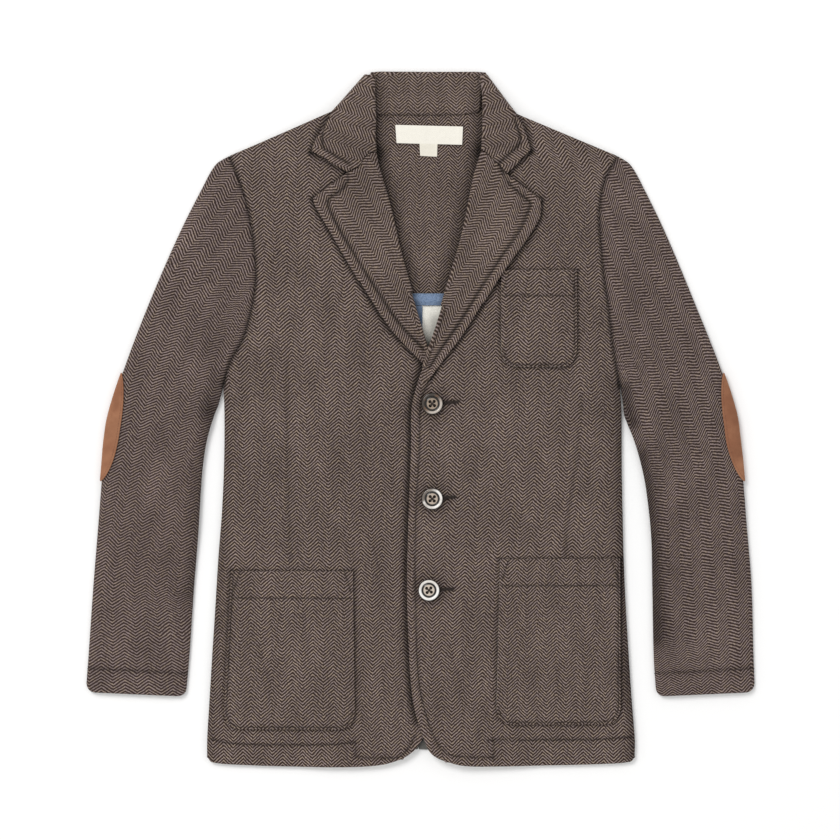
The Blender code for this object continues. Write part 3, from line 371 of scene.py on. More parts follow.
@dataclass(frozen=True)
class Layers:
    """Heights of the layers that lie on one another, in garment millimetres."""

    cloth: float = 1.8
    facing_cloth: float = 1.2
    tape_cloth: float = 1.0
    label_cloth: float = 0.6
    lapel_cloth: float = 2.2
    collar_cloth: float = 2.4
    sleeve_cloth: float = 1.6
    patch_cloth: float = 1.2
    gap: float = 0.3
    stack_gap: float = 0.5
    air: float = 2.2
    lap_middle: float = 3.0

    def __post_init__(self) -> None:
        """Reads the body's outline once."""
        reach = {}
        for side in Side:
            rows = joined(table_curve(SIDE_SEAM, side), table_curve(ARMHOLE, side))
            reach[side] = rows
        object.__setattr__(self, "_reach", reach)

    def from_edge(self, x: Array, y: Array) -> Array:
        """Distance of points in from the body's edge, along X."""
        right, left = self._reach[Side.RIGHT], self._reach[Side.LEFT]
        reach = np.where(x < 0, np.interp(y, right[:, 0], right[:, 1]),
                         np.interp(y, left[:, 0], left[:, 1]))
        return reach - np.abs(x)

    def below_shoulder(self, x: Array, y: Array) -> Array:
        """Distance of points below the shoulder seam."""
        neck, point = NECK_POINT[Side.LEFT], SHOULDER_POINT[Side.LEFT]
        slope = (point.y - neck.y) / (point.x - neck.x)
        return neck.y + slope * (np.abs(x) - neck.x) - y

    def back_under(self, x: Array, y: Array) -> Array:
        """Underside of the back: on the floor, but over the collar's fall at the neck."""
        step = self.collar_cloth + self.gap
        return step * ease((y - 478.0) / 52.0) * ease((152.0 - np.abs(x - STAND_MIDDLE)) / 60.0)

    def on_back(self, x: Array, y: Array) -> Array:
        """Underside of what lies on the back."""
        return self.back_under(x, y) + self.cloth + self.stack_gap

    def on_facing(self, x: Array, y: Array) -> Array:
        """Underside of the labels, on the facing."""
        return self.on_back(x, y) + self.facing_cloth + self.gap

    def front_under(self, x: Array, y: Array) -> Array:
        """Underside of the front that lies lower."""
        over_facing = (self.facing_cloth + self.stack_gap) * ease((104.0 - np.abs(x - CENTRE_BACK)) / 32.0)
        edge = self.from_edge(x, y)
        air = self.air * (ease(edge / 60.0) * ease((np.abs(x - self.lap_middle) - 16.0) / 55.0)
                          * ease((y - 5.0) / 50.0) * ease(self.below_shoulder(x, y) / 45.0))
        return self.on_back(x, y) + over_facing + air + self.buckles(x, y) * ease(edge / 22.0)

    def buckles(self, x: Array, y: Array) -> Array:
        """Soft ridges that the fronts keep beside the armholes and over the darts."""
        rise = np.zeros(np.shape(x))
        for mark in FRONT_BUCKLES:
            gap, _ = line_distance(x, y, straight(*mark.line))
            rise = rise + mark.rise * np.exp(-(gap / mark.width)**2)
        return rise

    def left_front_under(self, x: Array, y: Array) -> Array:
        """Underside of the left front, which steps over the right one and its lapel's end."""
        lap = (self.cloth + self.stack_gap) * ease((76.0 - x) / 56.0) * ease((452.0 - y) / 92.0)
        tip = (self.lapel_cloth + self.stack_gap) * ease((66.0 - x) / 48.0) \
            * ease((y - 313.0) / 20.0) * ease((445.0 - y) / 80.0)
        return self.front_under(x, y) + lap + tip

    def front(self, side: Side) -> Height:
        """Underside of one front."""
        return self.front_under if side is Side.RIGHT else self.left_front_under

    def on_front(self, side: Side) -> Height:
        """Underside of what lies on one front."""
        return lambda x, y: self.front(side)(x, y) + self.cloth + self.stack_gap

    def lapel(self, side: Side) -> Height:
        """Underside of a lapel, which on the left steps over the chest pocket's corner."""
        def height(x: Array, y: Array) -> Array:
            """Underside at plan points."""
            corner = (self.cloth + self.stack_gap) * ease((x - 46.0) / 16.0) \
                * ease((y - 378.0) / 20.0) * ease((462.0 - y) / 34.0)
            return self.on_front(side)(x, y) + (corner if side is Side.LEFT else 0.0)
        return height

    def wing(self, side: Side) -> Height:
        """Underside of a collar wing, on the front and down to the stand towards the roll."""
        def height(x: Array, y: Array) -> Array:
            """Underside at plan points."""
            on_front = self.on_front(side)(x, y)
            on_stand = 2 * (self.collar_cloth + self.gap)
            return on_front + (on_stand - on_front) * ease((y - 556.0) / 26.0)
        return height


FRONT_BUCKLES = (
    crease(1.1, 15, (-134, 372), (-147, 288)),
    crease(0.7, 17, (-118, 330), (-112, 200)),
    crease(0.9, 14, (146, 385), (149, 250)),
    crease(0.6, 18, (118, 320), (112, 215)),
)
LAYERS = Layers()


# -------------------------------------------------------------------------------- relief and grain

@dataclass(frozen=True)
class Relief:
    """Sewn grooves and soft creases on the upper face of a piece; as a piece's shade, lines of painted
    shade as dark as their marks rise.
    """

    marks: tuple[Mark, ...] = ()

    def rise(self, x: Array, y: Array) -> Array:
        """Height that the marks add to a surface."""
        total = np.zeros(np.shape(x))
        for mark in self.marks:
            line = smooth(mark.line, 6) if len(mark.line) > 2 else straight(*mark.line)
            beyond = MARK_REACH * mark.width
            low, high = line.min(axis=0) - beyond, line.max(axis=0) + beyond
            near = (x > low[0]) & (x < high[0]) & (y > low[1]) & (y < high[1])
            if not near.any():
                continue
            gap, share = line_distance(x[near], y[near], line)
            value = mark.rise * np.exp(-(gap / mark.width)**2)
            if mark.fades:
                value = value * np.sin(np.pi * np.clip(share, 0.02, 0.98))**0.7
            total[near] += value
        return total

    def hollow(self, x: Array, y: Array) -> Array:
        """Painted shade in the sewn grooves and the troughs of the soft creases, with painted light on
        sewn ridges and crease tops.
        """
        grooves = Relief(tuple(m for m in self.marks if not m.fades))
        creases = Relief(tuple(m for m in self.marks if m.fades))
        sewn = grooves.rise(x, y)
        return (np.where(sewn < 0, -GROOVE_SHADE, -RIDGE_SHADE) * sewn
                - CREASE_SHADE * creases.rise(x, y))


@dataclass(frozen=True)
class Grain:
    """Straight weave of a panel: columns at an angle, with a peak at a place.

    The map is scaled so that one pair of columns is as wide as the cloth's own period. The weave is
    upright below a height, and drawn askew by its skew above it.
    """

    rows: tuple[GrainRow, ...] = (GrainRow(0.0, 0.0, PAIR),)
    angle: float = 0.0
    pivot: Spot = Spot(0.0, 0.0)
    period: float = PAIR
    straight_below: float = -1000.0
    skew: float = 0.0

    def map(self, x: Array, y: Array) -> Array:
        """Cloth coordinates of plan points, in metres.

        Args:
            x: plan X, in millimetres.
            y: plan Y, in millimetres.

        Returns:
            Array with U across the columns and V along them.
        """
        askew = 1 - ease((self.straight_below - y) / STRAIGHTENING)
        turn = math.radians(self.angle) * askew
        dx, dy = x - self.pivot.x, y - self.pivot.y
        across = dx * np.cos(turn) + dy * np.sin(turn) + self.pivot.x
        along = -dx * np.sin(turn) + dy * np.cos(turn) + self.pivot.y
        heights = [row.height for row in self.rows]
        peak = np.interp(along, heights, [row.peak for row in self.rows])
        along = along + self.skew * askew * across
        period = np.interp(along, heights, [row.period for row in self.rows])
        return np.stack([(across - peak) / period * self.period, along], axis=-1) * MM


@dataclass(frozen=True)
class AxisGrain:
    """Weave that follows a bent axis, as on a sleeve, where one column has its peak.

    widths gives the width of a pair of columns at a few heights, and skew how far the cloth is drawn
    askew at each of them.
    """

    axis: Array
    pair: float
    heights: tuple[float, ...]
    widths: tuple[float, ...]
    skew: tuple[float, ...]

    def map(self, x: Array, y: Array) -> Array:
        """Cloth coordinates of plan points, in metres, from their nearest points on the axis."""
        along = lengths_along(self.axis)
        best = np.full(x.shape, 1e9)
        across = np.zeros(x.shape)
        place = np.zeros(x.shape)
        for index in range(len(self.axis) - 1):
            start, run = self.axis[index], self.axis[index + 1] - self.axis[index]
            size = float(np.hypot(*run))
            t = np.clip(((x - start[0]) * run[0] + (y - start[1]) * run[1]) / size**2, 0.0, 1.0)
            dx, dy = x - start[0] - t * run[0], y - start[1] - t * run[1]
            gap = np.hypot(dx, dy)
            nearer = gap < best
            best = np.where(nearer, gap, best)
            side = (dx * -run[1] + dy * run[0]) / size
            across = np.where(nearer, side, across)
            place = np.where(nearer, along[index] + t * size, place)
        width = np.interp(y, self.heights, self.widths)
        askew = np.interp(y, self.heights, self.skew)
        return np.stack([across / width * self.pair, askew * across - place], axis=-1) * MM


# -------------------------------------------------------------------------------------------- shells

def to_world(points: Array) -> Array:
    """Garment millimetres as world metres."""
    return (points + np.array([MIDDLE_X, MIDDLE_Y, 0.0])) * MM


def unit(vectors: Array) -> Array:
    """Vectors made one long."""
    return vectors / np.maximum(np.linalg.norm(vectors, axis=-1), 1e-9)[..., None]


def grid_normals(points: Array) -> Array:
    """Normals of a grid of points, from its columns and rows."""
    return unit(np.cross(np.gradient(points, axis=1), np.gradient(points, axis=0)))


def mesh_of(name: str, points: Array, quads: Array, cloth_map: Array, inner: Optional[Array] = None,
            hollow: Optional[Array] = None) -> bpy.types.Mesh:
    """Mesh from points in garment millimetres and four-sided faces.

    Args:
        name: name of the mesh.
        points: vertices, one a row.
        quads: vertex numbers of each face.
        cloth_map: cloth coordinates of each vertex.
        inner: for each face, whether it shows the wrong side of the cloth.
        hollow: painted shade at each vertex, with painted light where it is negative.

    Returns:
        The mesh, with its UV map and smooth faces.
    """
    mesh = bpy.data.meshes.new(name)
    corners = quads.ravel().astype(np.int32)
    mesh.vertices.add(len(points))
    mesh.vertices.foreach_set("co", to_world(points).ravel())
    mesh.loops.add(len(corners))
    mesh.loops.foreach_set("vertex_index", corners)
    mesh.polygons.add(len(quads))
    mesh.polygons.foreach_set("loop_start", np.arange(0, len(corners), 4, dtype=np.int32))
    mesh.polygons.foreach_set("use_smooth", np.ones(len(quads), dtype=bool))
    if inner is not None:
        mesh.polygons.foreach_set("material_index", inner.astype(np.int32))
    layer = mesh.uv_layers.new(name="Cloth")
    layer.data.foreach_set("uv", cloth_map[corners].ravel())
    # Painted shade per vertex, with painted light where negative; the finishes scale their colour by it.
    depth = mesh.attributes.new("Hollow", "FLOAT", "POINT")
    depth.data.foreach_set("value", np.zeros(len(points)) if hollow is None
                           else np.clip(hollow, -0.3, 1.0))
    mesh.update(calc_edges=True)
    mesh.validate()
    return mesh


def grid_quads(rows: int, columns: int, first: int = 0) -> Array:
    """Faces of a grid, whose normals point along columns cross rows."""
    r, c = np.meshgrid(np.arange(rows - 1), np.arange(columns - 1), indexing="ij")
    a = (first + r * columns + c).ravel()
    return np.stack([a, a + 1, a + columns + 1, a + columns], axis=-1)


def rim_loop(rows: int, columns: int) -> Array:
    """Vertex numbers round the outside of a grid, without a repeat."""
    index = np.arange(rows * columns).reshape(rows, columns)
    return np.concatenate([index[0, :-1], index[:-1, -1], index[-1, :0:-1], index[:0:-1, 0]])


def cloth_shell(name: str, middle: Array, thickness: float, cloth_map: Array,
                relief: Optional[Array] = None, inner_face: bool = True,
                hollow: Optional[Array] = None) -> bpy.types.Mesh:
    """Closed wall of cloth about a middle surface, with rounded edges.

    Args:
        name: name of the mesh.
        middle: grid of points midway through the cloth.
        thickness: thickness of the cloth, in millimetres.
        cloth_map: cloth coordinates of the grid.
        relief: height added to the outer face.
        inner_face: whether the wrong side has its own finish.
        hollow: painted shade of the outer face and its rim, with painted light where it is negative.

    Returns:
        The mesh.
    """
    rows, columns = middle.shape[:2]
    count = rows * columns
    half = thickness / 2
    normal = grid_normals(middle)
    raised = half + (relief if relief is not None else np.zeros((rows, columns)))
    outer = middle + normal * raised[..., None]
    under = middle - normal * half
    away = np.zeros_like(middle)
    along_map = np.zeros((rows, columns, 2))
    for edge, next_in in ((np.s_[0, :], np.s_[1, :]), (np.s_[-1, :], np.s_[-2, :]),
                          (np.s_[:, 0], np.s_[:, 1]), (np.s_[:, -1], np.s_[:, -2])):
        step = middle[edge] - middle[next_in]
        size = np.maximum(np.linalg.norm(step, axis=-1), 1e-9)[..., None]
        away[edge] += step / size
        along_map[edge] += (cloth_map[edge] - cloth_map[next_in]) / size
    loop = rim_loop(rows, columns)
    flat_normal = normal.reshape(count, 3)[loop]
    out = away.reshape(count, 3)[loop]
    out = unit(out - flat_normal * (out * flat_normal).sum(axis=-1)[:, None])
    centre = middle.reshape(count, 3)[loop]
    top_half = raised.reshape(count)[loop]
    rings, ring_maps = [], []
    for degrees in RIM_ANGLES:
        angle = math.radians(degrees)
        lift = np.where(angle > 0, top_half, half) * math.sin(angle)
        rings.append(centre + flat_normal * lift[:, None] + out * half * math.cos(angle))
        arc = half * math.radians(90.0 - degrees)
        ring_maps.append(cloth_map.reshape(count, 2)[loop] + along_map.reshape(count, 2)[loop] * arc)
    size = len(loop)
    points = np.vstack([outer.reshape(count, 3), under.reshape(count, 3)] + rings)
    maps = np.vstack([cloth_map.reshape(count, 2)] * 2 + ring_maps)
    # Painted shade, with painted light where negative, on the outer face and round the rim; none on the
    # wrong side.
    depth = np.zeros(len(points))
    if hollow is not None:
        depth[:count] = hollow.reshape(count)
        depth[2 * count:] = np.tile(hollow.reshape(count)[loop], len(rings))
    levels = [loop] + [2 * count + k * size + np.arange(size) for k in range(len(rings))]
    levels.append(loop + count)
    faces = [grid_quads(rows, columns), grid_quads(rows, columns, count)[:, ::-1]]
    for upper, lower in zip(levels, levels[1:]):
        faces.append(np.stack([upper, lower, np.roll(lower, -1), np.roll(upper, -1)], axis=-1))
    quads = np.vstack(faces)
    inner = np.zeros(len(quads), dtype=bool)
    if inner_face:
        inner[len(faces[0]):2 * len(faces[0])] = True
    return mesh_of(name, points, quads, maps, inner, depth)


def curled(middle: Array, cloth_map: Array, radius: Array, steps: int = 7
           ) -> tuple[Array, Array, int]:
    """Grid whose first column is rolled over towards the wrong side.

    Args:
        middle: grid of points, with the roll along its first column.
        cloth_map: cloth coordinates of the grid.
        radius: radius of the roll at each row.
        steps: columns that the roll adds.

    Returns:
        The longer grid, its cloth coordinates, and the number of columns added.
    """
    normal = grid_normals(middle)[:, 0]
    step = middle[:, 0] - middle[:, 1]
    size = np.maximum(np.linalg.norm(step, axis=-1), 1e-9)[:, None]
    out = unit(np.cross(np.gradient(middle[:, 0], axis=0), normal))
    out = out * np.sign((out * step).sum())
    map_run = (cloth_map[:, 0] - cloth_map[:, 1]) / size
    columns, maps = [], []
    for index in range(1, steps + 1):
        angle = math.pi * index / steps
        columns.append(middle[:, 0] + out * (radius * math.sin(angle))[:, None]
                       - normal * (radius * (1 - math.cos(angle)))[:, None])
        maps.append(cloth_map[:, 0] + map_run * (radius * angle)[:, None])
    columns.reverse()
    maps.reverse()
    return (np.concatenate([np.stack(columns, axis=1), middle], axis=1),
            np.concatenate([np.stack(maps, axis=1), cloth_map], axis=1), steps)


def cloth_object(name: str, mesh: bpy.types.Mesh, materials: Sequence[bpy.types.Material]
                 ) -> bpy.types.Object:
    """Object of a finished mesh, at the origin, with its materials."""
    for material in materials:
        mesh.materials.append(material)
    piece = bpy.data.objects.new(name, mesh)
    bpy.context.scene.collection.objects.link(piece)
    return piece


def declare(piece: bpy.types.Object, slot: str, *nodes: str) -> None:
    """Ties a piece to the garment's one body, hides the parts of the nodes it stands for and logs its
    faces.
    """
    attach(piece, "root")
    if nodes:
        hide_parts(*nodes)
    log.info("%s: %d faces", piece.name, len(piece.data.polygons))


def declare_sheet(plan: Array, layers: int = 1, turned: float = 0.0
                  ) -> None:
    """Works out the flat area of a laid piece's cut, which is not kept.

    Args:
        plan: grid of its plan points, in millimetres.
        layers: cloths that the piece has over its plan, two on a flattened tube.
        turned: how much of the cut is turned under along each long edge, in millimetres.
    """
    outline = plan.reshape(-1, 2)[rim_loop(*plan.shape[:2])]
    x, y = outline[:, 0], outline[:, 1]
    area = abs(float(np.sum(x * np.roll(y, -1) - y * np.roll(x, -1)))) / 2 * layers * MM**2
    length = float(np.ptp(y)) * MM
    area += 2 * turned * MM * length


EDGE_STEPS = (0.0, 1.7, 2.6, 3.6, 4.8, 5.8, 6.7, 7.5, 8.3, 9.4, 11.0, 13.4)
ROLL_STEPS = (0.0, 4.6, 5.8, 7.4, 9.4, 12.0)
FOLD_STEPS = (0.0, 2.0, 4.0, 6.5, 9.0, 12.0)
POCKET_STEPS = (0.0, 0.8, 1.3, 1.8, 2.3, 2.9, 3.7, 4.8, 6.3)


@dataclass
class Panel:
    """Cloth panel between four plan edges, laid at a height, with rounded edges.

    low and high run across at the two ends, start and end run along the two sides. Where there is a
    roll_radius, the start side turns over towards the wrong side by it.
    """

    name: str
    low: Array
    high: Array
    start: Array
    end: Array
    under: Height
    thickness: float
    grain: Grain
    relief: Relief = field(default_factory=Relief)
    # Lines of painted shade, darker where their marks rise.
    shade: Relief = field(default_factory=Relief)
    step: float = 2.8
    row_step: float = 2.8
    side_steps: tuple[tuple[float, ...], tuple[float, ...]] = (EDGE_STEPS, EDGE_STEPS)
    end_steps: tuple[tuple[float, ...], tuple[float, ...]] = (EDGE_STEPS, EDGE_STEPS)
    finer_along: tuple[tuple[float, float], ...] = ()
    roll_radius: float = 0.0

    def distances(self, length: float, step: float,
                  ends: tuple[tuple[float, ...], tuple[float, ...]],
                  finer: tuple[tuple[float, float], ...] = ()) -> Array:
        """Distances of the grid's lines along an edge, finer at its ends and where asked."""
        first, last = np.array(ends[0]), length - np.array(ends[1])[::-1]
        if first[-1] + last.size * 0.5 > last[0]:
            count = max(int(math.ceil(length / (step / 2))), 4)
            return np.linspace(0.0, length, count + 1)
        count = max(int(math.ceil((last[0] - first[-1]) / step)), 1)
        middle = np.linspace(first[-1], last[0], count + 1)[1:-1]
        for low, high in finer:
            middle = middle[(middle < low) | (middle > high)]
            middle = np.concatenate([middle, np.arange(low, high, FINE_STEP)])
        return np.concatenate([first, np.sort(middle), last])

    def plan(self) -> Array:
        """Plan points of the grid."""
        width = max(lengths_along(self.low)[-1], lengths_along(self.high)[-1])
        length = max(lengths_along(self.start)[-1], lengths_along(self.end)[-1])
        across = self.distances(width, self.step, self.side_steps) / width
        along = self.distances(length, self.row_step, self.end_steps, self.finer_along) / length
        return coons(self.low, self.high, self.start, self.end, across, along)

    def top(self, x: Array, y: Array) -> Array:
        """Height of the upper face."""
        return self.under(x, y) + self.thickness + self.relief.rise(x, y)

    def surface(self) -> tuple[Array, Array, Array, Array]:
        """Middle surface, cloth coordinates, relief and painted shade of the whole panel, roll included.
        """
        plan = self.plan()
        half = self.thickness / 2
        insets = (half, half, half + self.roll_radius, half)
        for inset, edge, next_in in zip(insets, (np.s_[0, :], np.s_[-1, :], np.s_[:, 0], np.s_[:, -1]),
                                        (np.s_[1, :], np.s_[-2, :], np.s_[:, 1], np.s_[:, -2])):
            plan[edge] += unit(plan[next_in] - plan[edge]) * inset
        x, y = plan[..., 0], plan[..., 1]
        middle = np.dstack([x, y, self.under(x, y) + half])
        cloth_map = self.grain.map(x, y)
        relief = self.relief.rise(x, y)
        # Painted shade from the relief's grooves and creases, with painted light on ridges, plus the
        # panel's own lines of painted shade.
        hollow = self.relief.hollow(x, y) + self.shade.rise(x, y)
        if self.roll_radius > 0.0:
            radius = np.full(len(middle), self.roll_radius)
            middle, cloth_map, added = self.rolled(middle, cloth_map, radius)
            rolled = np.zeros((len(relief), added))
            relief = np.concatenate([rolled, relief], axis=1)
            hollow = np.concatenate([rolled, hollow], axis=1)
        if grid_normals(middle)[:, middle.shape[1] // 2:, 2].mean() < 0:
            middle, cloth_map, relief, hollow = (grid[:, ::-1] for grid in
                                                 (middle, cloth_map, relief, hollow))
        return middle, cloth_map, relief, hollow

    def rolled(self, middle: Array, cloth_map: Array, radius: Array) -> tuple[Array, Array, int]:
        """Rolls the start side down, whichever way round the grid runs."""
        if grid_normals(middle)[..., 2].mean() >= 0:
            return curled(middle, cloth_map, radius)
        turned, maps, added = curled(middle[::-1], cloth_map[::-1], radius[::-1])
        return turned[::-1], maps[::-1], added

    def lay(self, slot: str, *finishes: "Finish", turned: float = 0.0) -> None:
        """Args:
            slot: slot of its finish, passed to declare, which does not use it.
            finishes: finish of the right side, and of the wrong side where it has its own.
            turned: how much of the cut is turned under along each long edge.
        """
        middle, cloth_map, relief, hollow = self.surface()
        mesh = cloth_shell(self.name, middle, self.thickness, cloth_map, relief, len(finishes) > 1,
                           hollow)
        piece = cloth_object(self.name, mesh, [finish.material for finish in finishes])
        declare(piece, slot, self.name.removesuffix("_cloth"))
        declare_sheet(self.plan(), turned=turned)


# --------------------------------------------------------------------------------------- node graphs

class Graph:
    """Adds and links the nodes of one shader or geometry tree."""

    def __init__(self, tree: bpy.types.NodeTree) -> None:
        """Keeps the tree."""
        self.tree = tree

    def node(self, kind: str, **settings: object) -> bpy.types.Node:
        """New node with its settings."""
        made = self.tree.nodes.new(kind)
        for key, value in settings.items():
            setattr(made, key, value)
        return made

    def feed(self, socket: bpy.types.NodeSocket, value: object) -> None:
        """Links a socket to another, or sets its value."""
        if isinstance(value, bpy.types.NodeSocket):
            self.tree.links.new(value, socket)
        else:
            socket.default_value = value

    def fed(self, kind: str, feeds: dict[object, object], **settings: object) -> bpy.types.Node:
        """New node with its settings, and with its inputs fed by name or number."""
        made = self.node(kind, **settings)
        for key, value in feeds.items():
            self.feed(made.inputs[key], value)
        return made

    def scaled(self, vector: object, scale: object) -> bpy.types.NodeSocket:
        """Vector or colour times a number."""
        return self.fed("ShaderNodeVectorMath", {0: vector, "Scale": scale},
                        operation="SCALE").outputs[0]

    def parts(self, vector: object) -> bpy.types.bpy_prop_collection:
        """X, Y and Z of a vector, by name."""
        return self.fed("ShaderNodeSeparateXYZ", {0: vector}).outputs

    def math(self, operation: str, *values: object) -> bpy.types.NodeSocket:
        """Result of a Math node."""
        made = self.node("ShaderNodeMath", operation=operation)
        for socket, value in zip(made.inputs, values):
            self.feed(socket, value)
        return made.outputs[0]

    def mix(self, factor: object, first: object, second: object) -> bpy.types.NodeSocket:
        """Colour between two."""
        return self.fed("ShaderNodeMix", {0: factor, 6: first, 7: second},
                        data_type="RGBA").outputs[2]

    def noise(self, vector: object, scale: object, detail: float = 2.0, rough: float = 0.5
              ) -> bpy.types.NodeSocket:
        """Value of a Noise Texture."""
        return self.fed("ShaderNodeTexNoise", {"Vector": vector, "Scale": scale, "Detail": detail,
                                               "Roughness": rough}).outputs["Fac"]

    def ramp(self, value: object, low: float, high: float) -> bpy.types.NodeSocket:
        """Value spread smoothly from 0 at low to 1 at high."""
        return self.fed("ShaderNodeMapRange", {"Value": value, "From Min": low, "From Max": high},
                        interpolation_type="SMOOTHSTEP").outputs["Result"]


def new_group(name: str, inputs: Sequence[tuple[str, str, object]],
              outputs: Sequence[tuple[str, str]]) -> tuple[bpy.types.NodeTree, Graph, bpy.types.Node,
                                                            bpy.types.Node]:
    """Shader group with named sockets.

    Args:
        name: name of the group.
        inputs: name, socket type and value of each input.
        outputs: name and socket type of each output.

    Returns:
        The group, its graph, and its input and output nodes.
    """
    tree = bpy.data.node_groups.new(name, "ShaderNodeTree")
    for label, kind, value in inputs:
        socket = tree.interface.new_socket(label, in_out="INPUT", socket_type=kind)
        if value is not None:
            socket.default_value = value
    for label, kind in outputs:
        tree.interface.new_socket(label, in_out="OUTPUT", socket_type=kind)
    graph = Graph(tree)
    return tree, graph, graph.node("NodeGroupInput"), graph.node("NodeGroupOutput")


FLOAT, VECTOR, COLOUR = "NodeSocketFloat", "NodeSocketVector", "NodeSocketColor"


def herringbone_group() -> bpy.types.NodeTree:
    """Group for the zigzag lines of the cloth, on its own UV map.

    Returns:
        Group with the lines' colour and their height.
    """
    tree, graph, given, result = new_group(
        "Herringbone lines",
        (("Vector", VECTOR, None), ("Pair Width", FLOAT, PAIR), ("Line Pitch", FLOAT, 2.86),
         ("Slope", FLOAT, 0.9), ("Wander", FLOAT, 0.6), ("Marl", FLOAT, 1.5),
         ("Dark", COLOUR, (0.05, 0.03, 0.02, 1.0)), ("Light", COLOUR, (0.25, 0.2, 0.16, 1.0)),
         ("Cool Light", COLOUR, (0.2, 0.17, 0.17, 1.0))),
        (("Color", COLOUR), ("Height", FLOAT)))
    asked = given.outputs
    place = graph.scaled(asked["Vector"], TO_MM)
    split = graph.parts(place)
    soft = graph.noise(place, 0.11, 1.0)
    fine = graph.noise(place, 0.55, 1.0)
    sway = graph.math("MULTIPLY", graph.math("SUBTRACT", soft, 0.5),
                      graph.math("MULTIPLY", asked["Wander"], 4.0))
    jitter = graph.math("MULTIPLY", graph.math("SUBTRACT", fine, 0.5), asked["Wander"])
    across = graph.math("ADD", split["X"], graph.math("ADD", sway, jitter))
    column = graph.math("DIVIDE", across, asked["Pair Width"])
    zigzag = graph.math("PINGPONG", column, 0.5)
    rise = graph.math("MULTIPLY", zigzag, graph.math("MULTIPLY", asked["Pair Width"], asked["Slope"]))
    along = graph.math("ADD", graph.math("ADD", split["Y"], rise), graph.math("MULTIPLY", jitter, 0.8))
    phase = graph.math("MULTIPLY", graph.math("DIVIDE", along, asked["Line Pitch"]), math.tau)
    wave = graph.math("MULTIPLY_ADD", graph.math("SINE", phase), 0.5, 0.5)
    yarn = graph.noise(place, 0.85, 2.0, 0.7)
    speck = graph.math("MULTIPLY", graph.math("SUBTRACT", yarn, 0.5), asked["Marl"])
    line = graph.ramp(graph.math("ADD", wave, speck), 0.40, 1.06)
    tint = graph.ramp(graph.noise(place, 0.30, 2.0, 0.6), 0.40, 0.56)
    light = graph.mix(tint, asked["Light"], asked["Cool Light"])
    streaks = graph.fed("ShaderNodeVectorMath", {0: place, 1: (0.075, 0.022, 0.0)},
                        operation="MULTIPLY").outputs[0]
    streak = graph.noise(streaks, 1.0, 2.0, 0.6)
    colour = graph.mix(line, asked["Dark"], light)
    uneven = graph.scaled(colour, graph.math("MULTIPLY_ADD", streak, 0.62, 0.69))
    graph.feed(result.inputs["Color"], uneven)
    graph.feed(result.inputs["Height"], graph.math("MULTIPLY_ADD", line, 0.6,
                                                   graph.math("MULTIPLY", yarn, 0.5)))
    return tree


def nap_group() -> bpy.types.NodeTree:
    """Group for the short nap of fleece and suede: broad shading and fine fibres.

    Returns:
        Group with a brightness and a height.
    """
    tree, graph, given, result = new_group(
        "Nap", (("Vector", VECTOR, None), ("Patch Scale", FLOAT, 22.0), ("Fibre Scale", FLOAT, 900.0),
                ("Amount", FLOAT, 0.12)),
        (("Brightness", FLOAT), ("Height", FLOAT)))
    asked = given.outputs
    patches, fibres = (graph.noise(asked["Vector"], asked[source], 3.0)
                       for source in ("Patch Scale", "Fibre Scale"))
    spread = graph.math("SUBTRACT", graph.math("ADD", graph.math("MULTIPLY", patches, 1.3),
                                               graph.math("MULTIPLY", fibres, 0.7)), 1.0)
    bright = graph.math("MULTIPLY_ADD", spread, graph.math("MULTIPLY", asked["Amount"], 2.0), 1.0)
    graph.feed(result.inputs["Brightness"], bright)
    graph.feed(result.inputs["Height"], fibres)
    return tree


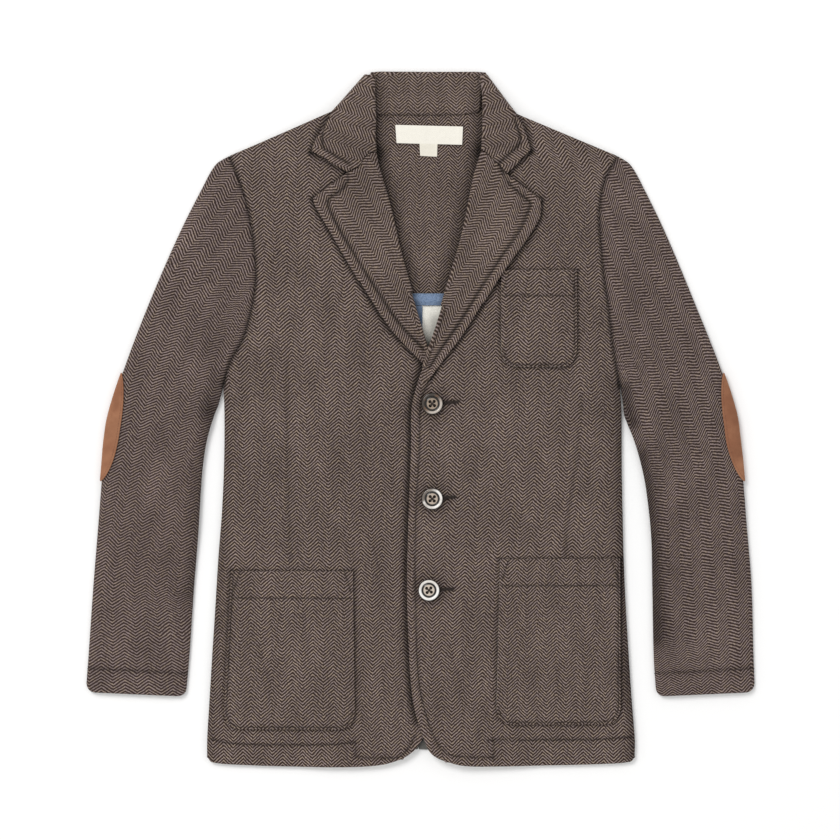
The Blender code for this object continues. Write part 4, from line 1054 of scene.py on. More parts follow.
class Finish:
    """Base of the finishes: one material with a Principled shader."""

    def __init__(self, name: str, roughness: float, sheen: float = 0.0,
                 sheen_tint: tuple[float, float, float] = (0.8, 0.75, 0.7), specular: float = 0.2
                 ) -> None:
        """Makes the material and sets what is the same all over it.

        Args:
            name: name of the material.
            roughness: roughness of the surface.
            sheen: weight of the fibres' sheen.
            sheen_tint: colour of the sheen.
            specular: specular level.
        """
        self.material = bpy.data.materials.new(name)
        self.material.use_nodes = True
        self.graph = Graph(self.material.node_tree)
        self.shader = self.material.node_tree.nodes["Principled BSDF"]
        self.shader.inputs["Roughness"].default_value = roughness
        self.shader.inputs["Specular IOR Level"].default_value = specular
        self.shader.inputs["Sheen Weight"].default_value = sheen
        self.shader.inputs["Sheen Roughness"].default_value = 0.45
        self.shader.inputs["Sheen Tint"].default_value = (*sheen_tint, 1.0)

    def uv(self) -> bpy.types.NodeSocket:
        """The piece's own cloth coordinates."""
        return self.graph.node("ShaderNodeUVMap", uv_map="Cloth").outputs["UV"]

    def place(self) -> bpy.types.NodeSocket:
        """Object coordinates."""
        return self.graph.node("ShaderNodeTexCoord").outputs["Object"]

    def use(self, tree: bpy.types.NodeTree, **values: object) -> bpy.types.Node:
        """Places a shared group with its own values.

        Args:
            tree: the group.
            values: socket name, with underscores for spaces, and value.

        Returns:
            The group's node.
        """
        made = self.graph.node("ShaderNodeGroup", node_tree=tree)
        for key, value in values.items():
            self.graph.feed(made.inputs[key.replace("_", " ")], value)
        return made

    def with_painted_shade(self, brightness: object, strength: float = 0.85) -> bpy.types.NodeSocket:
        """Brightness darkened by painted shade in sewn grooves, crease troughs and beside pieces that lie
        on the cloth, and raised by painted light on ridges and crease tops.
        """
        # Painted shade per vertex, with painted light where negative.
        depth = self.graph.node("ShaderNodeAttribute", attribute_name="Hollow").outputs["Fac"]
        return self.graph.math("MULTIPLY", brightness,
                               self.graph.math("MULTIPLY_ADD", depth, -strength, 1.0))

    def bump(self, height: object, strength: float, distance: float) -> None:
        """Feeds a height to the shader's normal."""
        made = self.graph.fed("ShaderNodeBump", {"Strength": strength, "Distance": distance,
                                                 "Height": height})
        self.graph.feed(self.shader.inputs["Normal"], made.outputs["Normal"])

    def colour(self, value: object, brightness: object = None) -> None:
        """Feeds the base colour, times a brightness and the piece's painted shade where a brightness is
        given.
        """
        if brightness is not None:
            value = self.graph.scaled(value, self.with_painted_shade(brightness))
        self.graph.feed(self.shader.inputs["Base Color"], value)


@dataclass(frozen=True)
class Tone:
    """Dark and light yarn of one part of the garment, and the spacing of its lines."""

    name: str
    dark: tuple[float, float, float]
    light: tuple[float, float, float]
    cool: tuple[float, float, float]
    pitch: float = 2.80
    pair_width: float = PAIR
    slope: float = 0.9


BODY_TONE = Tone("Body fleece", (0.031, 0.019, 0.015), (0.328, 0.256, 0.203), (0.278, 0.220, 0.208))
SLEEVE_TONE = Tone("Sleeve fleece", (0.035, 0.022, 0.019), (0.290, 0.224, 0.182),
                   (0.262, 0.204, 0.196), 2.62, 16.4, 0.77)
LAPEL_TONE = Tone("Lapel fleece", (0.035, 0.022, 0.017), (0.302, 0.234, 0.186),
                  (0.258, 0.204, 0.193), 2.62, PAIR, 0.8)
FACING_TONE = Tone("Facing fleece", (0.028, 0.017, 0.013), (0.318, 0.247, 0.197),
                   (0.268, 0.212, 0.200), 2.62)


class HerringboneFinish(Finish):
    """Herringbone fleece in one tone."""

    def __init__(self, tone: Tone, lines: bpy.types.NodeTree, nap: bpy.types.NodeTree) -> None:
        """Builds the zigzag lines with a short nap over them."""
        super().__init__(tone.name, 0.92, sheen=0.08, specular=0.12)
        weave = self.use(lines, Vector=self.uv(), Pair_Width=tone.pair_width, Line_Pitch=tone.pitch,
                         Slope=tone.slope, Dark=(*tone.dark, 1.0), Light=(*tone.light, 1.0),
                         Cool_Light=(*tone.cool, 1.0))
        fibre = self.use(nap, Vector=self.place(), Patch_Scale=22.0, Fibre_Scale=900.0, Amount=0.16)
        self.colour(weave.outputs["Color"], fibre.outputs["Brightness"])
        height = self.graph.math("MULTIPLY_ADD", fibre.outputs["Height"], 0.6, weave.outputs["Height"])
        self.bump(height, 0.5, 0.00035)


class InnerFleeceFinish(Finish):
    """Off-white wrong side of the fleece."""

    def __init__(self, nap: bpy.types.NodeTree) -> None:
        """Builds the pale brushed side."""
        super().__init__("Inner fleece", 0.95, sheen=0.15, sheen_tint=(1.0, 0.98, 0.94), specular=0.1)
        fibre = self.use(nap, Vector=self.place(), Patch_Scale=90.0, Fibre_Scale=1300.0, Amount=0.16)
        self.colour((0.88, 0.86, 0.79), fibre.outputs["Brightness"])
        self.bump(fibre.outputs["Height"], 0.8, 0.0006)


class SuedeFinish(Finish):
    """Tan suede of the elbow patches."""

    def __init__(self, nap: bpy.types.NodeTree) -> None:
        """Builds the brushed leather."""
        super().__init__("Tan suede", 0.9, sheen=0.25, sheen_tint=(0.9, 0.6, 0.4), specular=0.1)
        fibre = self.use(nap, Vector=self.place(), Patch_Scale=60.0, Fibre_Scale=1600.0, Amount=0.2)
        broad = self.graph.noise(self.place(), 38.0, 4.0, 0.6)
        base = self.graph.mix(self.graph.ramp(broad, 0.35, 0.68), (0.235, 0.100, 0.055, 1.0),
                              (0.330, 0.155, 0.086, 1.0))
        self.colour(base, fibre.outputs["Brightness"])
        self.bump(fibre.outputs["Height"], 0.5, 0.0004)


class ChambrayFinish(Finish):
    """Light blue plain weave of the binding and the tape."""

    def __init__(self) -> None:
        """Builds white weft over blue warp."""
        super().__init__("Chambray", 0.85, sheen=0.05, specular=0.15)
        graph = self.graph
        place = graph.scaled(self.uv(), TO_MM)
        split = graph.parts(place)
        warp, weft = (graph.math("SINE", graph.math("MULTIPLY", split[axis], 9.0)) for axis in "XY")
        weave = graph.math("MULTIPLY_ADD", graph.math("MULTIPLY", warp, weft), 0.25, 0.5)
        slub = graph.noise(place, 0.9, 3.0, 0.7)
        mask = graph.ramp(graph.math("ADD", weave, graph.math("SUBTRACT", slub, 0.5)), 0.2, 0.8)
        blue = graph.mix(mask, (0.085, 0.150, 0.280, 1.0), (0.270, 0.340, 0.460, 1.0))
        cloud = graph.noise(place, 0.45, 3.0, 0.7)
        self.colour(blue, graph.math("ADD", cloud, 0.5))
        self.bump(weave, 0.4, 0.00015)


class LabelFinish(Finish):
    """Bare woven cotton of the neck label and the size tab."""

    def __init__(self, name: str, colour: tuple[float, float, float]) -> None:
        """Builds a close satin weave in one colour."""
        super().__init__(name, 0.7, sheen=0.05, specular=0.25)
        graph = self.graph
        place = graph.scaled(self.uv(), TO_MM)
        split = graph.parts(place)
        wave = graph.math("SINE", graph.math("MULTIPLY", split["Y"], 14.0))
        thread = graph.math("MULTIPLY_ADD", wave, 0.5, 0.5)
        cloud = graph.noise(place, 0.35, 3.0, 0.6)
        level = graph.math("MULTIPLY_ADD", thread, 0.05,
                           graph.math("MULTIPLY_ADD", cloud, 0.12, 0.88))
        self.colour(colour, level)
        self.bump(thread, 0.3, 0.0001)


class ThreadFinish(Finish):
    """Sewing thread in one colour."""

    def __init__(self, name: str, colour: tuple[float, float, float]) -> None:
        """Builds the thread with a fine twist."""
        super().__init__(name, 0.6, sheen=0.05, specular=0.3)
        twist = self.graph.noise(self.place(), 1800.0, 2.0)
        self.colour(self.graph.mix(twist, (*(c * 0.6 for c in colour), 1.0),
                                   (*(min(c * 1.4, 1.0) for c in colour), 1.0)))


@dataclass(frozen=True)
class HornTone:
    """Colours of a button: its dished middle, its rim's light and dark sides and streaks, and the painted
    shade in its circular groove and round its outer edge.

    dark_side_to says how far across the rim, from the upper left, the dark side reaches. The dark side is
    the horn's own dark colour with painted shade, and the light side past it, on the lower right, is a
    painted highlight.
    """

    name: str
    middle: tuple[float, float, float]
    # The rim colour shows on the lower right as a painted highlight; the next colour shows on the upper
    # left, the horn's own dark colour with painted shade.
    rim: tuple[float, float, float]
    dark_side: tuple[float, float, float]
    streak: tuple[float, float, float]
    # Painted shade in the circular groove and round the outer edge.
    ring: tuple[float, float, float]
    dark_side_to: float


class HornFinish(Finish):
    """Polished imitation horn, ringed about the button's own centre, with painted shade in its circular
    groove and round its edge and a painted highlight on its rim's lower right.

    Each pair of radii, in millimetres, is where one colour starts to give way to the next and where
    it has done so.
    """

    # The painted shade lies in the circular groove, between RING_STARTS and RING_ENDS, and round the outer
    # edge, from EDGE_STARTS.
    RING_STARTS = (4.3, 4.9)
    RING_ENDS = (6.1, 6.6)
    RIM_STARTS = (4.9, 5.6)
    EDGE_STARTS = (8.1, 8.8)
    SIDE_BLEND = 0.3

    def __init__(self, tone: HornTone) -> None:
        """Builds the rings of colour, the rim's dark side with its painted shade and its light side with
        its painted highlight, the cloudy streaks, and the painted shade in the groove and round the edge.
        """
        super().__init__(tone.name, 0.18, specular=0.5)
        graph = self.graph
        length = graph.fed("ShaderNodeVectorMath", {0: self.uv()}, operation="LENGTH")
        radius = graph.math("MULTIPLY", length.outputs["Value"], TO_MM)
        split = graph.parts(self.uv())
        cloud = graph.noise(self.place(), 130.0, 4.0, 0.6)
        # The rim is painted lighter towards the lower right: a painted highlight there, and the horn's own
        # dark colour with painted shade towards the upper left.
        lower_right = graph.math("MULTIPLY", graph.math("SUBTRACT", split["X"], split["Y"]), 80.0)
        across = graph.math("ADD", lower_right, graph.math("SUBTRACT", cloud, 0.5))
        side = graph.ramp(across, tone.dark_side_to - self.SIDE_BLEND, tone.dark_side_to + self.SIDE_BLEND)
        rim = graph.mix(side, (*tone.dark_side, 1.0), (*tone.rim, 1.0))
        warm = graph.math("MULTIPLY", graph.ramp(cloud, 0.48, 0.66), 0.55)
        rim = graph.mix(warm, rim, (*tone.streak, 1.0))
        # Painted shade in the circular groove and round the outer edge.
        past_ring = graph.math("SUBTRACT", 1.0, graph.ramp(radius, *self.RING_ENDS))
        in_ring = graph.math("MULTIPLY", graph.ramp(radius, *self.RING_STARTS), past_ring)
        body = graph.mix(graph.ramp(radius, *self.RIM_STARTS), (*tone.middle, 1.0), rim)
        edge = graph.ramp(radius, *self.EDGE_STARTS)
        dark = graph.math("MAXIMUM", in_ring, edge)
        self.colour(graph.mix(dark, body, (*tone.ring, 1.0)))
        self.bump(cloud, 0.15, 0.0004)


class PaperFinish(Finish):
    """Plain pale studio floor."""

    def __init__(self) -> None:
        """Builds a matt white."""
        super().__init__("Studio floor", 0.95, specular=0.0)
        self.colour((0.93, 0.93, 0.93, 1.0))


@dataclass
class Wardrobe:
    """All the finishes of the garment."""

    body: HerringboneFinish
    sleeve: HerringboneFinish
    lapel: HerringboneFinish
    facing: HerringboneFinish
    inner: InnerFleeceFinish
    suede: SuedeFinish
    chambray: ChambrayFinish
    label: LabelFinish
    tab: LabelFinish
    thread: ThreadFinish
    patch_thread: ThreadFinish
    dark_thread: ThreadFinish
    brown_horn: HornFinish
    silver_horn: HornFinish
    pale_horn: HornFinish

    @classmethod
    def make(cls) -> "Wardrobe":
        """Builds every finish once."""
        lines, nap = herringbone_group(), nap_group()
        return cls(
            body=HerringboneFinish(BODY_TONE, lines, nap),
            sleeve=HerringboneFinish(SLEEVE_TONE, lines, nap),
            lapel=HerringboneFinish(LAPEL_TONE, lines, nap),
            facing=HerringboneFinish(FACING_TONE, lines, nap),
            inner=InnerFleeceFinish(nap),
            suede=SuedeFinish(nap),
            chambray=ChambrayFinish(),
            label=LabelFinish("Neck label", (0.83, 0.80, 0.72)),
            tab=LabelFinish("Size tab", (0.77, 0.735, 0.64)),
            thread=ThreadFinish("Topstitch thread", (0.028, 0.019, 0.015)),
            patch_thread=ThreadFinish("Patch thread", (0.20, 0.085, 0.045)),
            dark_thread=ThreadFinish("Buttonhole thread", (0.022, 0.014, 0.011)),
            brown_horn=HornFinish(HornTone("Brown horn", (0.30, 0.235, 0.175), (0.46, 0.41, 0.36),
                                           (0.045, 0.036, 0.029), (0.20, 0.105, 0.055),
                                           (0.010, 0.008, 0.006), 0.22)),
            silver_horn=HornFinish(HornTone("Silver horn", (0.44, 0.36, 0.29), (0.80, 0.77, 0.73),
                                            (0.15, 0.125, 0.105), (0.30, 0.25, 0.21),
                                            (0.010, 0.008, 0.007), -0.45)),
            pale_horn=HornFinish(HornTone("Pale horn", (0.56, 0.48, 0.40), (0.84, 0.82, 0.79),
                                          (0.45, 0.40, 0.36), (0.62, 0.56, 0.50),
                                          (0.012, 0.010, 0.009), -0.9)),
        )


# ------------------------------------------------------------------------------------------ stitching

class StitchTree:
    """Geometry Nodes tree that sews a thread along the edges of a mesh."""

    def __init__(self) -> None:
        """Builds the tree with its named inputs."""
        tree = bpy.data.node_groups.new("Running stitch", "GeometryNodeTree")
        self.tree = tree
        self.sockets: dict[str, str] = {}
        new = tree.interface.new_socket
        new("Geometry", in_out="INPUT", socket_type="NodeSocketGeometry")
        for label, kind, value in (("Pitch", FLOAT, 0.0026), ("Length", FLOAT, 0.0021),
                                   ("Thickness", FLOAT, 0.00045), ("Turn", FLOAT, 0.0),
                                   ("Unevenness", FLOAT, 0.12), ("Seed", "NodeSocketInt", 7),
                                   ("Thread", "NodeSocketMaterial", None)):
            socket = new(label, in_out="INPUT", socket_type=kind)
            if value is not None:
                socket.default_value = value
            self.sockets[label] = socket.identifier
        new("Geometry", in_out="OUTPUT", socket_type="NodeSocketGeometry")
        graph = Graph(tree)
        asked, result = graph.node("NodeGroupInput").outputs, graph.node("NodeGroupOutput")
        curve = graph.fed("GeometryNodeMeshToCurve", {"Mesh": asked["Geometry"]})
        spaced = graph.fed("GeometryNodeResampleCurve", {"Curve": curve.outputs["Curve"],
                                                         "Length": asked["Pitch"]}, mode="LENGTH")
        bead = graph.fed("GeometryNodeMeshUVSphere", {"Segments": 6, "Rings": 4, "Radius": 0.5})
        size = graph.fed("ShaderNodeCombineXYZ", {"X": asked["Length"], "Y": asked["Thickness"],
                                                  "Z": asked["Thickness"]})
        shaped = graph.fed("GeometryNodeTransform", {"Geometry": bead.outputs["Mesh"],
                                                     "Scale": size.outputs["Vector"]})
        tangent = graph.node("GeometryNodeInputTangent")
        aligned = graph.fed("FunctionNodeAlignRotationToVector",
                            {"Vector": tangent.outputs["Tangent"]}, axis="X")
        spin = graph.fed("ShaderNodeCombineXYZ", {"Z": asked["Turn"]})
        euler = graph.fed("FunctionNodeEulerToRotation", {"Euler": spin.outputs["Vector"]})
        turned = graph.fed("FunctionNodeRotateRotation", {"Rotation": aligned.outputs["Rotation"],
                                                          "Rotate By": euler.outputs["Rotation"]},
                           rotation_space="LOCAL")
        chance = graph.fed("FunctionNodeRandomValue",
                           {"Seed": asked["Seed"],
                            2: graph.math("SUBTRACT", 1.0, asked["Unevenness"]),
                            3: graph.math("ADD", 1.0, asked["Unevenness"])}, data_type="FLOAT")
        sewn = graph.fed("GeometryNodeInstanceOnPoints",
                         {"Points": spaced.outputs["Curve"], "Instance": shaped.outputs["Geometry"],
                          "Rotation": turned.outputs["Rotation"], "Scale": chance.outputs[1]})
        real = graph.fed("GeometryNodeRealizeInstances", {"Geometry": sewn.outputs["Instances"]})
        rounded = graph.fed("GeometryNodeSetShadeSmooth", {"Geometry": real.outputs["Geometry"]})
        dressed = graph.fed("GeometryNodeSetMaterial", {"Geometry": rounded.outputs["Geometry"],
                                                        "Material": asked["Thread"]})
        graph.feed(result.inputs["Geometry"], dressed.outputs["Geometry"])

    def sew(self, name: str, lines: Sequence[Array], thread: bpy.types.Material,
            **sizes: float) -> bpy.types.Object:
        """Sews lines with stitches and returns them as one plain mesh.

        Args:
            name: name of the piece.
            lines: 3-D polylines, in garment millimetres.
            thread: material of the thread.
            sizes: values of the tree's inputs, by name.

        Returns:
            The piece.
        """
        points = np.vstack(lines)
        edges, first = [], 0
        for line in lines:
            edges += [(first + k, first + k + 1) for k in range(len(line) - 1)]
            first += len(line)
        guide = bpy.data.meshes.new(name + "_guide")
        guide.from_pydata(to_world(points).tolist(), edges, [])
        piece = bpy.data.objects.new(name, guide)
        bpy.context.scene.collection.objects.link(piece)
        sewing = piece.modifiers.new("sewing", "NODES")
        sewing.node_group = self.tree
        for label, value in sizes.items():
            sewing[self.sockets[label]] = value
        sewing[self.sockets["Thread"]] = thread
        bpy.context.view_layer.update()
        evaluated = piece.evaluated_get(bpy.context.evaluated_depsgraph_get())
        mesh = bpy.data.meshes.new_from_object(evaluated)
        piece.modifiers.clear()
        piece.data = mesh
        mesh.name = name
        return piece


@dataclass
class Sewing:
    """Gathers the stitch lines of the garment and sews them as one piece for each thread."""

    tree: StitchTree
    top: list[Array] = field(default_factory=list)
    patch: list[Array] = field(default_factory=list)
    hole: list[Array] = field(default_factory=list)

    def on_panel(self, panel: Panel, line: Array) -> None:
        """Adds a topstitch line, given in the plan, that lies on a panel."""
        dense = resampled(line, STITCH_SPACING)
        height = panel.top(dense[:, 0], dense[:, 1])
        self.top.append(np.column_stack([dense, height]))

    def finish(self, wardrobe: Wardrobe) -> None:
        """Sews all the lines."""
        piece = self.tree.sew("topstitches", self.top, wardrobe.thread.material, Pitch=0.0026,
                              Length=0.0022, Thickness=0.0007, Unevenness=0.15)
        declare(piece, "herringbone_fleece")
        piece = self.tree.sew("patch_stitches", self.patch, wardrobe.patch_thread.material,
                              Pitch=0.0022, Length=0.0018, Thickness=0.0005, Unevenness=0.1)
        declare(piece, "suede")
        piece = self.tree.sew("buttonhole_stitches", self.hole, wardrobe.dark_thread.material,
                              Pitch=0.0006, Length=0.0017, Thickness=0.0006,
                              Turn=math.pi / 2, Unevenness=0.25)
        declare(piece, "herringbone_fleece")


def ridge(line: Array, rise: float, width: float) -> Mark:
    """Even mark along a line: a ridge that the seam allowance inside an edge raises, with a little painted
    light on it, and the base of the lines of painted shade.
    """
    return Mark(tuple(Spot(*p) for p in resampled(line, MARK_SPACING)), rise, width, fades=False)


def groove(line: Array, depth: float = 0.62, width: float = 1.3) -> Mark:
    """Groove that a line of stitches presses into the cloth, with painted shade in it."""
    return ridge(line, -depth, width)


def contact_shade(line: Array, depth: float, width: float) -> Mark:
    """Line of painted shade, as dark as its depth, where something lies on the cloth or beside it."""
    return ridge(line, depth, width)


# --------------------------------------------------------------------------------------- the garment

BACK_CREASES = {
    Side.RIGHT: (
        crease(0.8, 13, (-132, 392), (-118, 330), (-122, 262)),
        crease(-0.5, 18, (-64, 470), (-58, 380), (-66, 250)),
        crease(0.5, 16, (-40, 220), (-52, 130), (-48, 60)),
    ),
    Side.LEFT: (
        crease(0.8, 13, (140, 396), (126, 340), (131, 270)),
        crease(-0.5, 18, (60, 460), (66, 360), (58, 240)),
        crease(0.5, 16, (88, 210), (96, 120), (90, 50)),
    ),
}
BODY_GRAIN = {
    Side.RIGHT: Grain(table_of(GrainRow, (47, -66.5, 16.6), (103, -65.8, 17.05), (204, -68.9, 17.8),
                                         (288, -68.9, 17.8), (422, -74.8, 19.07))),
    Side.LEFT: Grain(table_of(GrainRow, (103, 85.3, 17), (204, 92.4, 18), (288, 98.3, 18.1),
                                        (456, 97.4, 16.8), (484, 97, 16.8), (506, 93, 16.8),
                                        (527, 85.6, 16.8))),
}
BACK_GRAIN = Grain((GrainRow(0.0, CENTRE_BACK, 17.4),))
# Where the fronts part above the top button and at the hem; painted shade darkens what shows there.
LAP_OPENING = straight((8.0, 335.0), (8.0, 350.0))
HEM_OPENING = straight((0.0, 14.0), (0.0, 45.0))


@dataclass
class Backs:
    """The two backs, which meet at the centre-back seam and lie on the floor."""

    wardrobe: Wardrobe
    seam_gap: float = 0.3

    def build(self) -> None:
        """Builds both halves."""
        for side in Side:
            centre = CENTRE_BACK + side.value * self.seam_gap / 2
            hem = sorted((p for p in BACK_HEM if (p.x - CENTRE_BACK) * side.value > 1),
                         key=lambda p: -abs(p.x)) + [Spot(centre, 15.1)]
            neck = sorted((p for p in NECK_LINE if (p.x - CENTRE_BACK) * side.value > 1),
                          key=lambda p: -abs(p.x)) + [Spot(centre, BACK_NECK_HEIGHT)]
            panel = Panel(
                "back_" + side.word + "_cloth", smooth(hem),
                joined(straight(SHOULDER_POINT[side], NECK_POINT[side]), smooth(neck)),
                body_side(side), straight(Spot(centre, 15.1), Spot(centre, BACK_NECK_HEIGHT)),
                LAYERS.back_under, LAYERS.cloth, BACK_GRAIN,
                # Painted shade on the back's visible pale side: under the lapel rolls, where the fronts
                # part, and along the shoulder and side seams.
                shade=Relief((contact_shade(smooth(ROLL_LINE[side][:3]), 0.6, 6.5),
                              contact_shade(LAP_OPENING, 0.65, 9.0),
                              contact_shade(HEM_OPENING, 1.15, 16.0),
                              contact_shade(straight(SHOULDER_POINT[side], NECK_POINT[side]), 1.1, 9.0),
                              contact_shade(seam_line(SIDE_SEAM, side), 1.1, 9.0))),
                step=4.0, row_step=4.0)
            # The last of these is the painted shade of the back's visible pale side.
            middle, cloth_map, _, hollow = panel.surface()
            x, y = middle[..., 0], middle[..., 1]
            creases = Relief(BACK_CREASES[side]).rise(x, y)
            middle[..., 2] += np.maximum(creases, 0.0) * 0.5
            mesh = cloth_shell(panel.name, middle, panel.thickness, cloth_map, hollow=hollow)
            piece = cloth_object(panel.name, mesh,
                                 [self.wardrobe.inner.material, self.wardrobe.body.material])
            declare(piece, "herringbone_fleece", "back_" + side.word)
            declare_sheet(panel.plan())


@dataclass
class NeckInside:
    """What shows in the neck: the facing, its binding, the seam tape, the label and the size tab."""

    wardrobe: Wardrobe
    sewing: Sewing
    binding_depth: float = 10.4
    tape_width: float = 7.0
    facing_top_reach: float = 8.0
    gap: float = 0.3

    def facing(self) -> None:
        """Builds the back neck facing."""
        shoulders = {}
        for side in Side:
            neck, point = NECK_POINT[side], SHOULDER_POINT[side]
            share = self.facing_top_reach / abs(point.x - neck.x)
            shoulders[side] = Spot(neck.x + (point.x - neck.x) * share,
                                   neck.y + (point.y - neck.y) * share)
        low = [Spot(CENTRE_BACK + side.value * FACING_LOW_HALF_WIDTH, FACING_FOOT) for side in Side]
        neck_line = smooth(NECK_LINE) + np.array([0.0, self.gap])
        neck_line[0], neck_line[-1] = NECK_POINT[Side.RIGHT], NECK_POINT[Side.LEFT]
        folds = (
            crease(-0.35, 9, (-24, 516), (-26, 480), (-14, 440)),
            crease(-0.3, 8, (34, 512), (30, 470), (17, 430)),
            crease(0.3, 14, (4, 500), (6, 450), (3, 415)),
        )
        panel = Panel(
            "neck_facing_cloth", straight(*low),
            joined(straight(shoulders[Side.RIGHT], NECK_POINT[Side.RIGHT]), neck_line,
                   straight(NECK_POINT[Side.LEFT], shoulders[Side.LEFT])),
            straight(low[0], shoulders[Side.RIGHT]), straight(low[1], shoulders[Side.LEFT]),
            LAYERS.on_back, LAYERS.facing_cloth,
            Grain(table_of(GrainRow, (400, 6.7, 16.4), (550, 6.7, 16.2)), period=PAIR),
            Relief(folds), Relief(self.shade()), step=2.2, row_step=2.4)
        panel.lay("herringbone_fleece", self.wardrobe.facing, self.wardrobe.inner)

    def shade(self) -> tuple[Mark, ...]:
        """Where the lapels, the wings, the label and the stand shade the facing."""
        marks = [contact_shade(smooth(NECK_LINE), 0.15, 2.6)]
        for side in Side:
            marks.append(contact_shade(smooth(ROLL_LINE[side][2:]), 0.6, 7.5))
            marks.append(contact_shade(smooth(WING_INNER[side][:3]), 0.6, 8.5))
        label = straight(*LABEL_CORNERS[:2])
        marks.append(contact_shade(label, 0.35, 1.8))
        marks.append(contact_shade(straight(LABEL_CORNERS[1], LABEL_CORNERS[2]), 0.35, 1.8))
        return tuple(marks)

    def strip(self, name: str, low: Spot, high: Spot, thickness: float, relief: Relief,
              turned: float = 0.0) -> None:
        """Builds a straight chambray strip that lies on the back.

        Args:
            name: node that the strip stands for.
            low: its lower right corner.
            high: its upper left corner.
            thickness: thickness of the cloth.
            relief: its pressed edges.
            turned: how much of the cut is turned under along each long edge.
        """
        panel = Panel(name + "_cloth", straight(low, (high.x, low.y)), straight((low.x, high.y), high),
                      straight(low, (low.x, high.y)), straight((high.x, low.y), high),
                      LAYERS.on_back, thickness, Grain((GrainRow(0.0, 0.0, PAIR),)), relief,
                      # Painted shade on the strip near the opening at the hem and under the lapels' rolls.
                      Relief((contact_shade(HEM_OPENING, 1.1, 16.0),
                              *(contact_shade(smooth(ROLL_LINE[side][1:4]), 0.4, 3.5) for side in Side))),
                      step=2.0, row_step=2.0,
                      side_steps=((0.0, 1.2, 2.0), (0.0, 1.2, 2.0)),
                      end_steps=((0.0, 1.2, 2.0), (0.0, 1.2, 2.0)))
        panel.lay("chambray", self.wardrobe.chambray, turned=turned)

    def label(self, name: str, corners: tuple[Spot, ...], finish: Finish, folded: float) -> None:
        """Builds a bare label on the facing.

        Args:
            name: node that the label stands for.
            corners: its corners, from the lower right one round.
            finish: its finish.
            folded: how far its ends are turned under, which shows as a faint ridge.
        """
        low_a, low_b, high_b, high_a = corners
        edges = [Mark((Spot(low_a.x + folded, low_a.y), Spot(high_a.x + folded, high_a.y)), 0.16, 0.8,
                      False),
                 Mark((Spot(low_b.x - folded, low_b.y), Spot(high_b.x - folded, high_b.y)), 0.16, 0.8,
                      False)]
        middle_x = (low_a.x + low_b.x) / 2
        edges.append(Mark((Spot(middle_x - 6, low_a.y), Spot(middle_x + 3, high_a.y)), -0.12, 5.0))
        angle = -math.degrees(math.atan2(low_a.y - low_b.y, low_b.x - low_a.x))
        panel = Panel(name + "_cloth", straight(low_a, low_b), straight(high_a, high_b),
                      straight(low_a, high_a), straight(low_b, high_b), LAYERS.on_facing,
                      LAYERS.label_cloth, Grain(angle=angle, pivot=low_a), Relief(tuple(edges)),
                      step=1.0, row_step=1.0, side_steps=((0.0, 0.7, 1.3), (0.0, 0.7, 1.3)),
                      end_steps=((0.0, 0.7, 1.3), (0.0, 0.7, 1.3)))
        panel.lay("cotton_label", finish)

    def build(self) -> None:
        """Builds all five pieces."""
        self.facing()
        foot = FACING_FOOT - self.binding_depth
        left, right = CENTRE_BACK - FACING_LOW_HALF_WIDTH, CENTRE_BACK + FACING_LOW_HALF_WIDTH
        middle = (foot + FACING_FOOT) / 2
        self.strip("facing_binding", Spot(left, foot), Spot(right, FACING_FOOT - self.gap),
                   LAYERS.facing_cloth,
                   Relief((Mark((Spot(left, middle - 3.4), Spot(right, middle - 3.4)), -0.3, 0.9, False),
                           Mark((Spot(left, middle + 3.6), Spot(right, middle + 3.6)), -0.2, 0.9,
                                False))))
        tape_left, tape_right = CENTRE_BACK - self.tape_width / 2, CENTRE_BACK + self.tape_width / 2
        self.strip("centre_back_tape", Spot(tape_left, BACK_HEM[2].y + 6.0),
                   Spot(tape_right, foot - self.gap), LAYERS.tape_cloth,
                   Relief((Mark((Spot(tape_right - 1.4, 20.0), Spot(tape_right - 1.4, foot)), -0.35, 0.6,
                                False),)), turned=1.6)
        self.label("neck_label", LABEL_CORNERS, self.wardrobe.label, 3.6)
        self.label("size_tab", SIZE_TAB_CORNERS, self.wardrobe.tab, 0.9)


FRONT_STITCHES = {
    Side.RIGHT: (
        spots((-176.4, 24.4), (-160.4, 20.5), (-113.4, 19.3), (-73.9, 19.8), (-56.3, 21.8)),
        spots((-55.4, 21.8), (-55.1, 15), (-55, 8.6)),
        spots((-5, 27.7), (-9.6, 18), (-18.5, 9.4), (-34, 8.4), (-54.5, 9.2)),
    ),
    Side.LEFT: (
        spots((56.6, 23.5), (110, 23.4), (150, 23.9), (176.8, 25.6)),
        spots((61, 23), (61, 15), (61, 7)),
        spots((13, 333.5), (7, 325.5), (2, 315), (-0.6, 302), (-1.4, 264.6), (-3.8, 230.2),
              (-5, 187.3), (-4.4, 130), (-1.7, 72.2), (5.9, 39.5), (12.6, 22.7), (21, 12.6),
              (36, 9.6), (60, 9)),
    ),
}
DARTS = {
    Side.RIGHT: (spots((-113, 340), (-112, 250), (-109.5, 172)),),
    Side.LEFT: (spots((134.9, 312.5), (131.5, 269.6), (126.3, 230.2), (122.6, 204.5),
                      (121.8, 178.9)),),
}
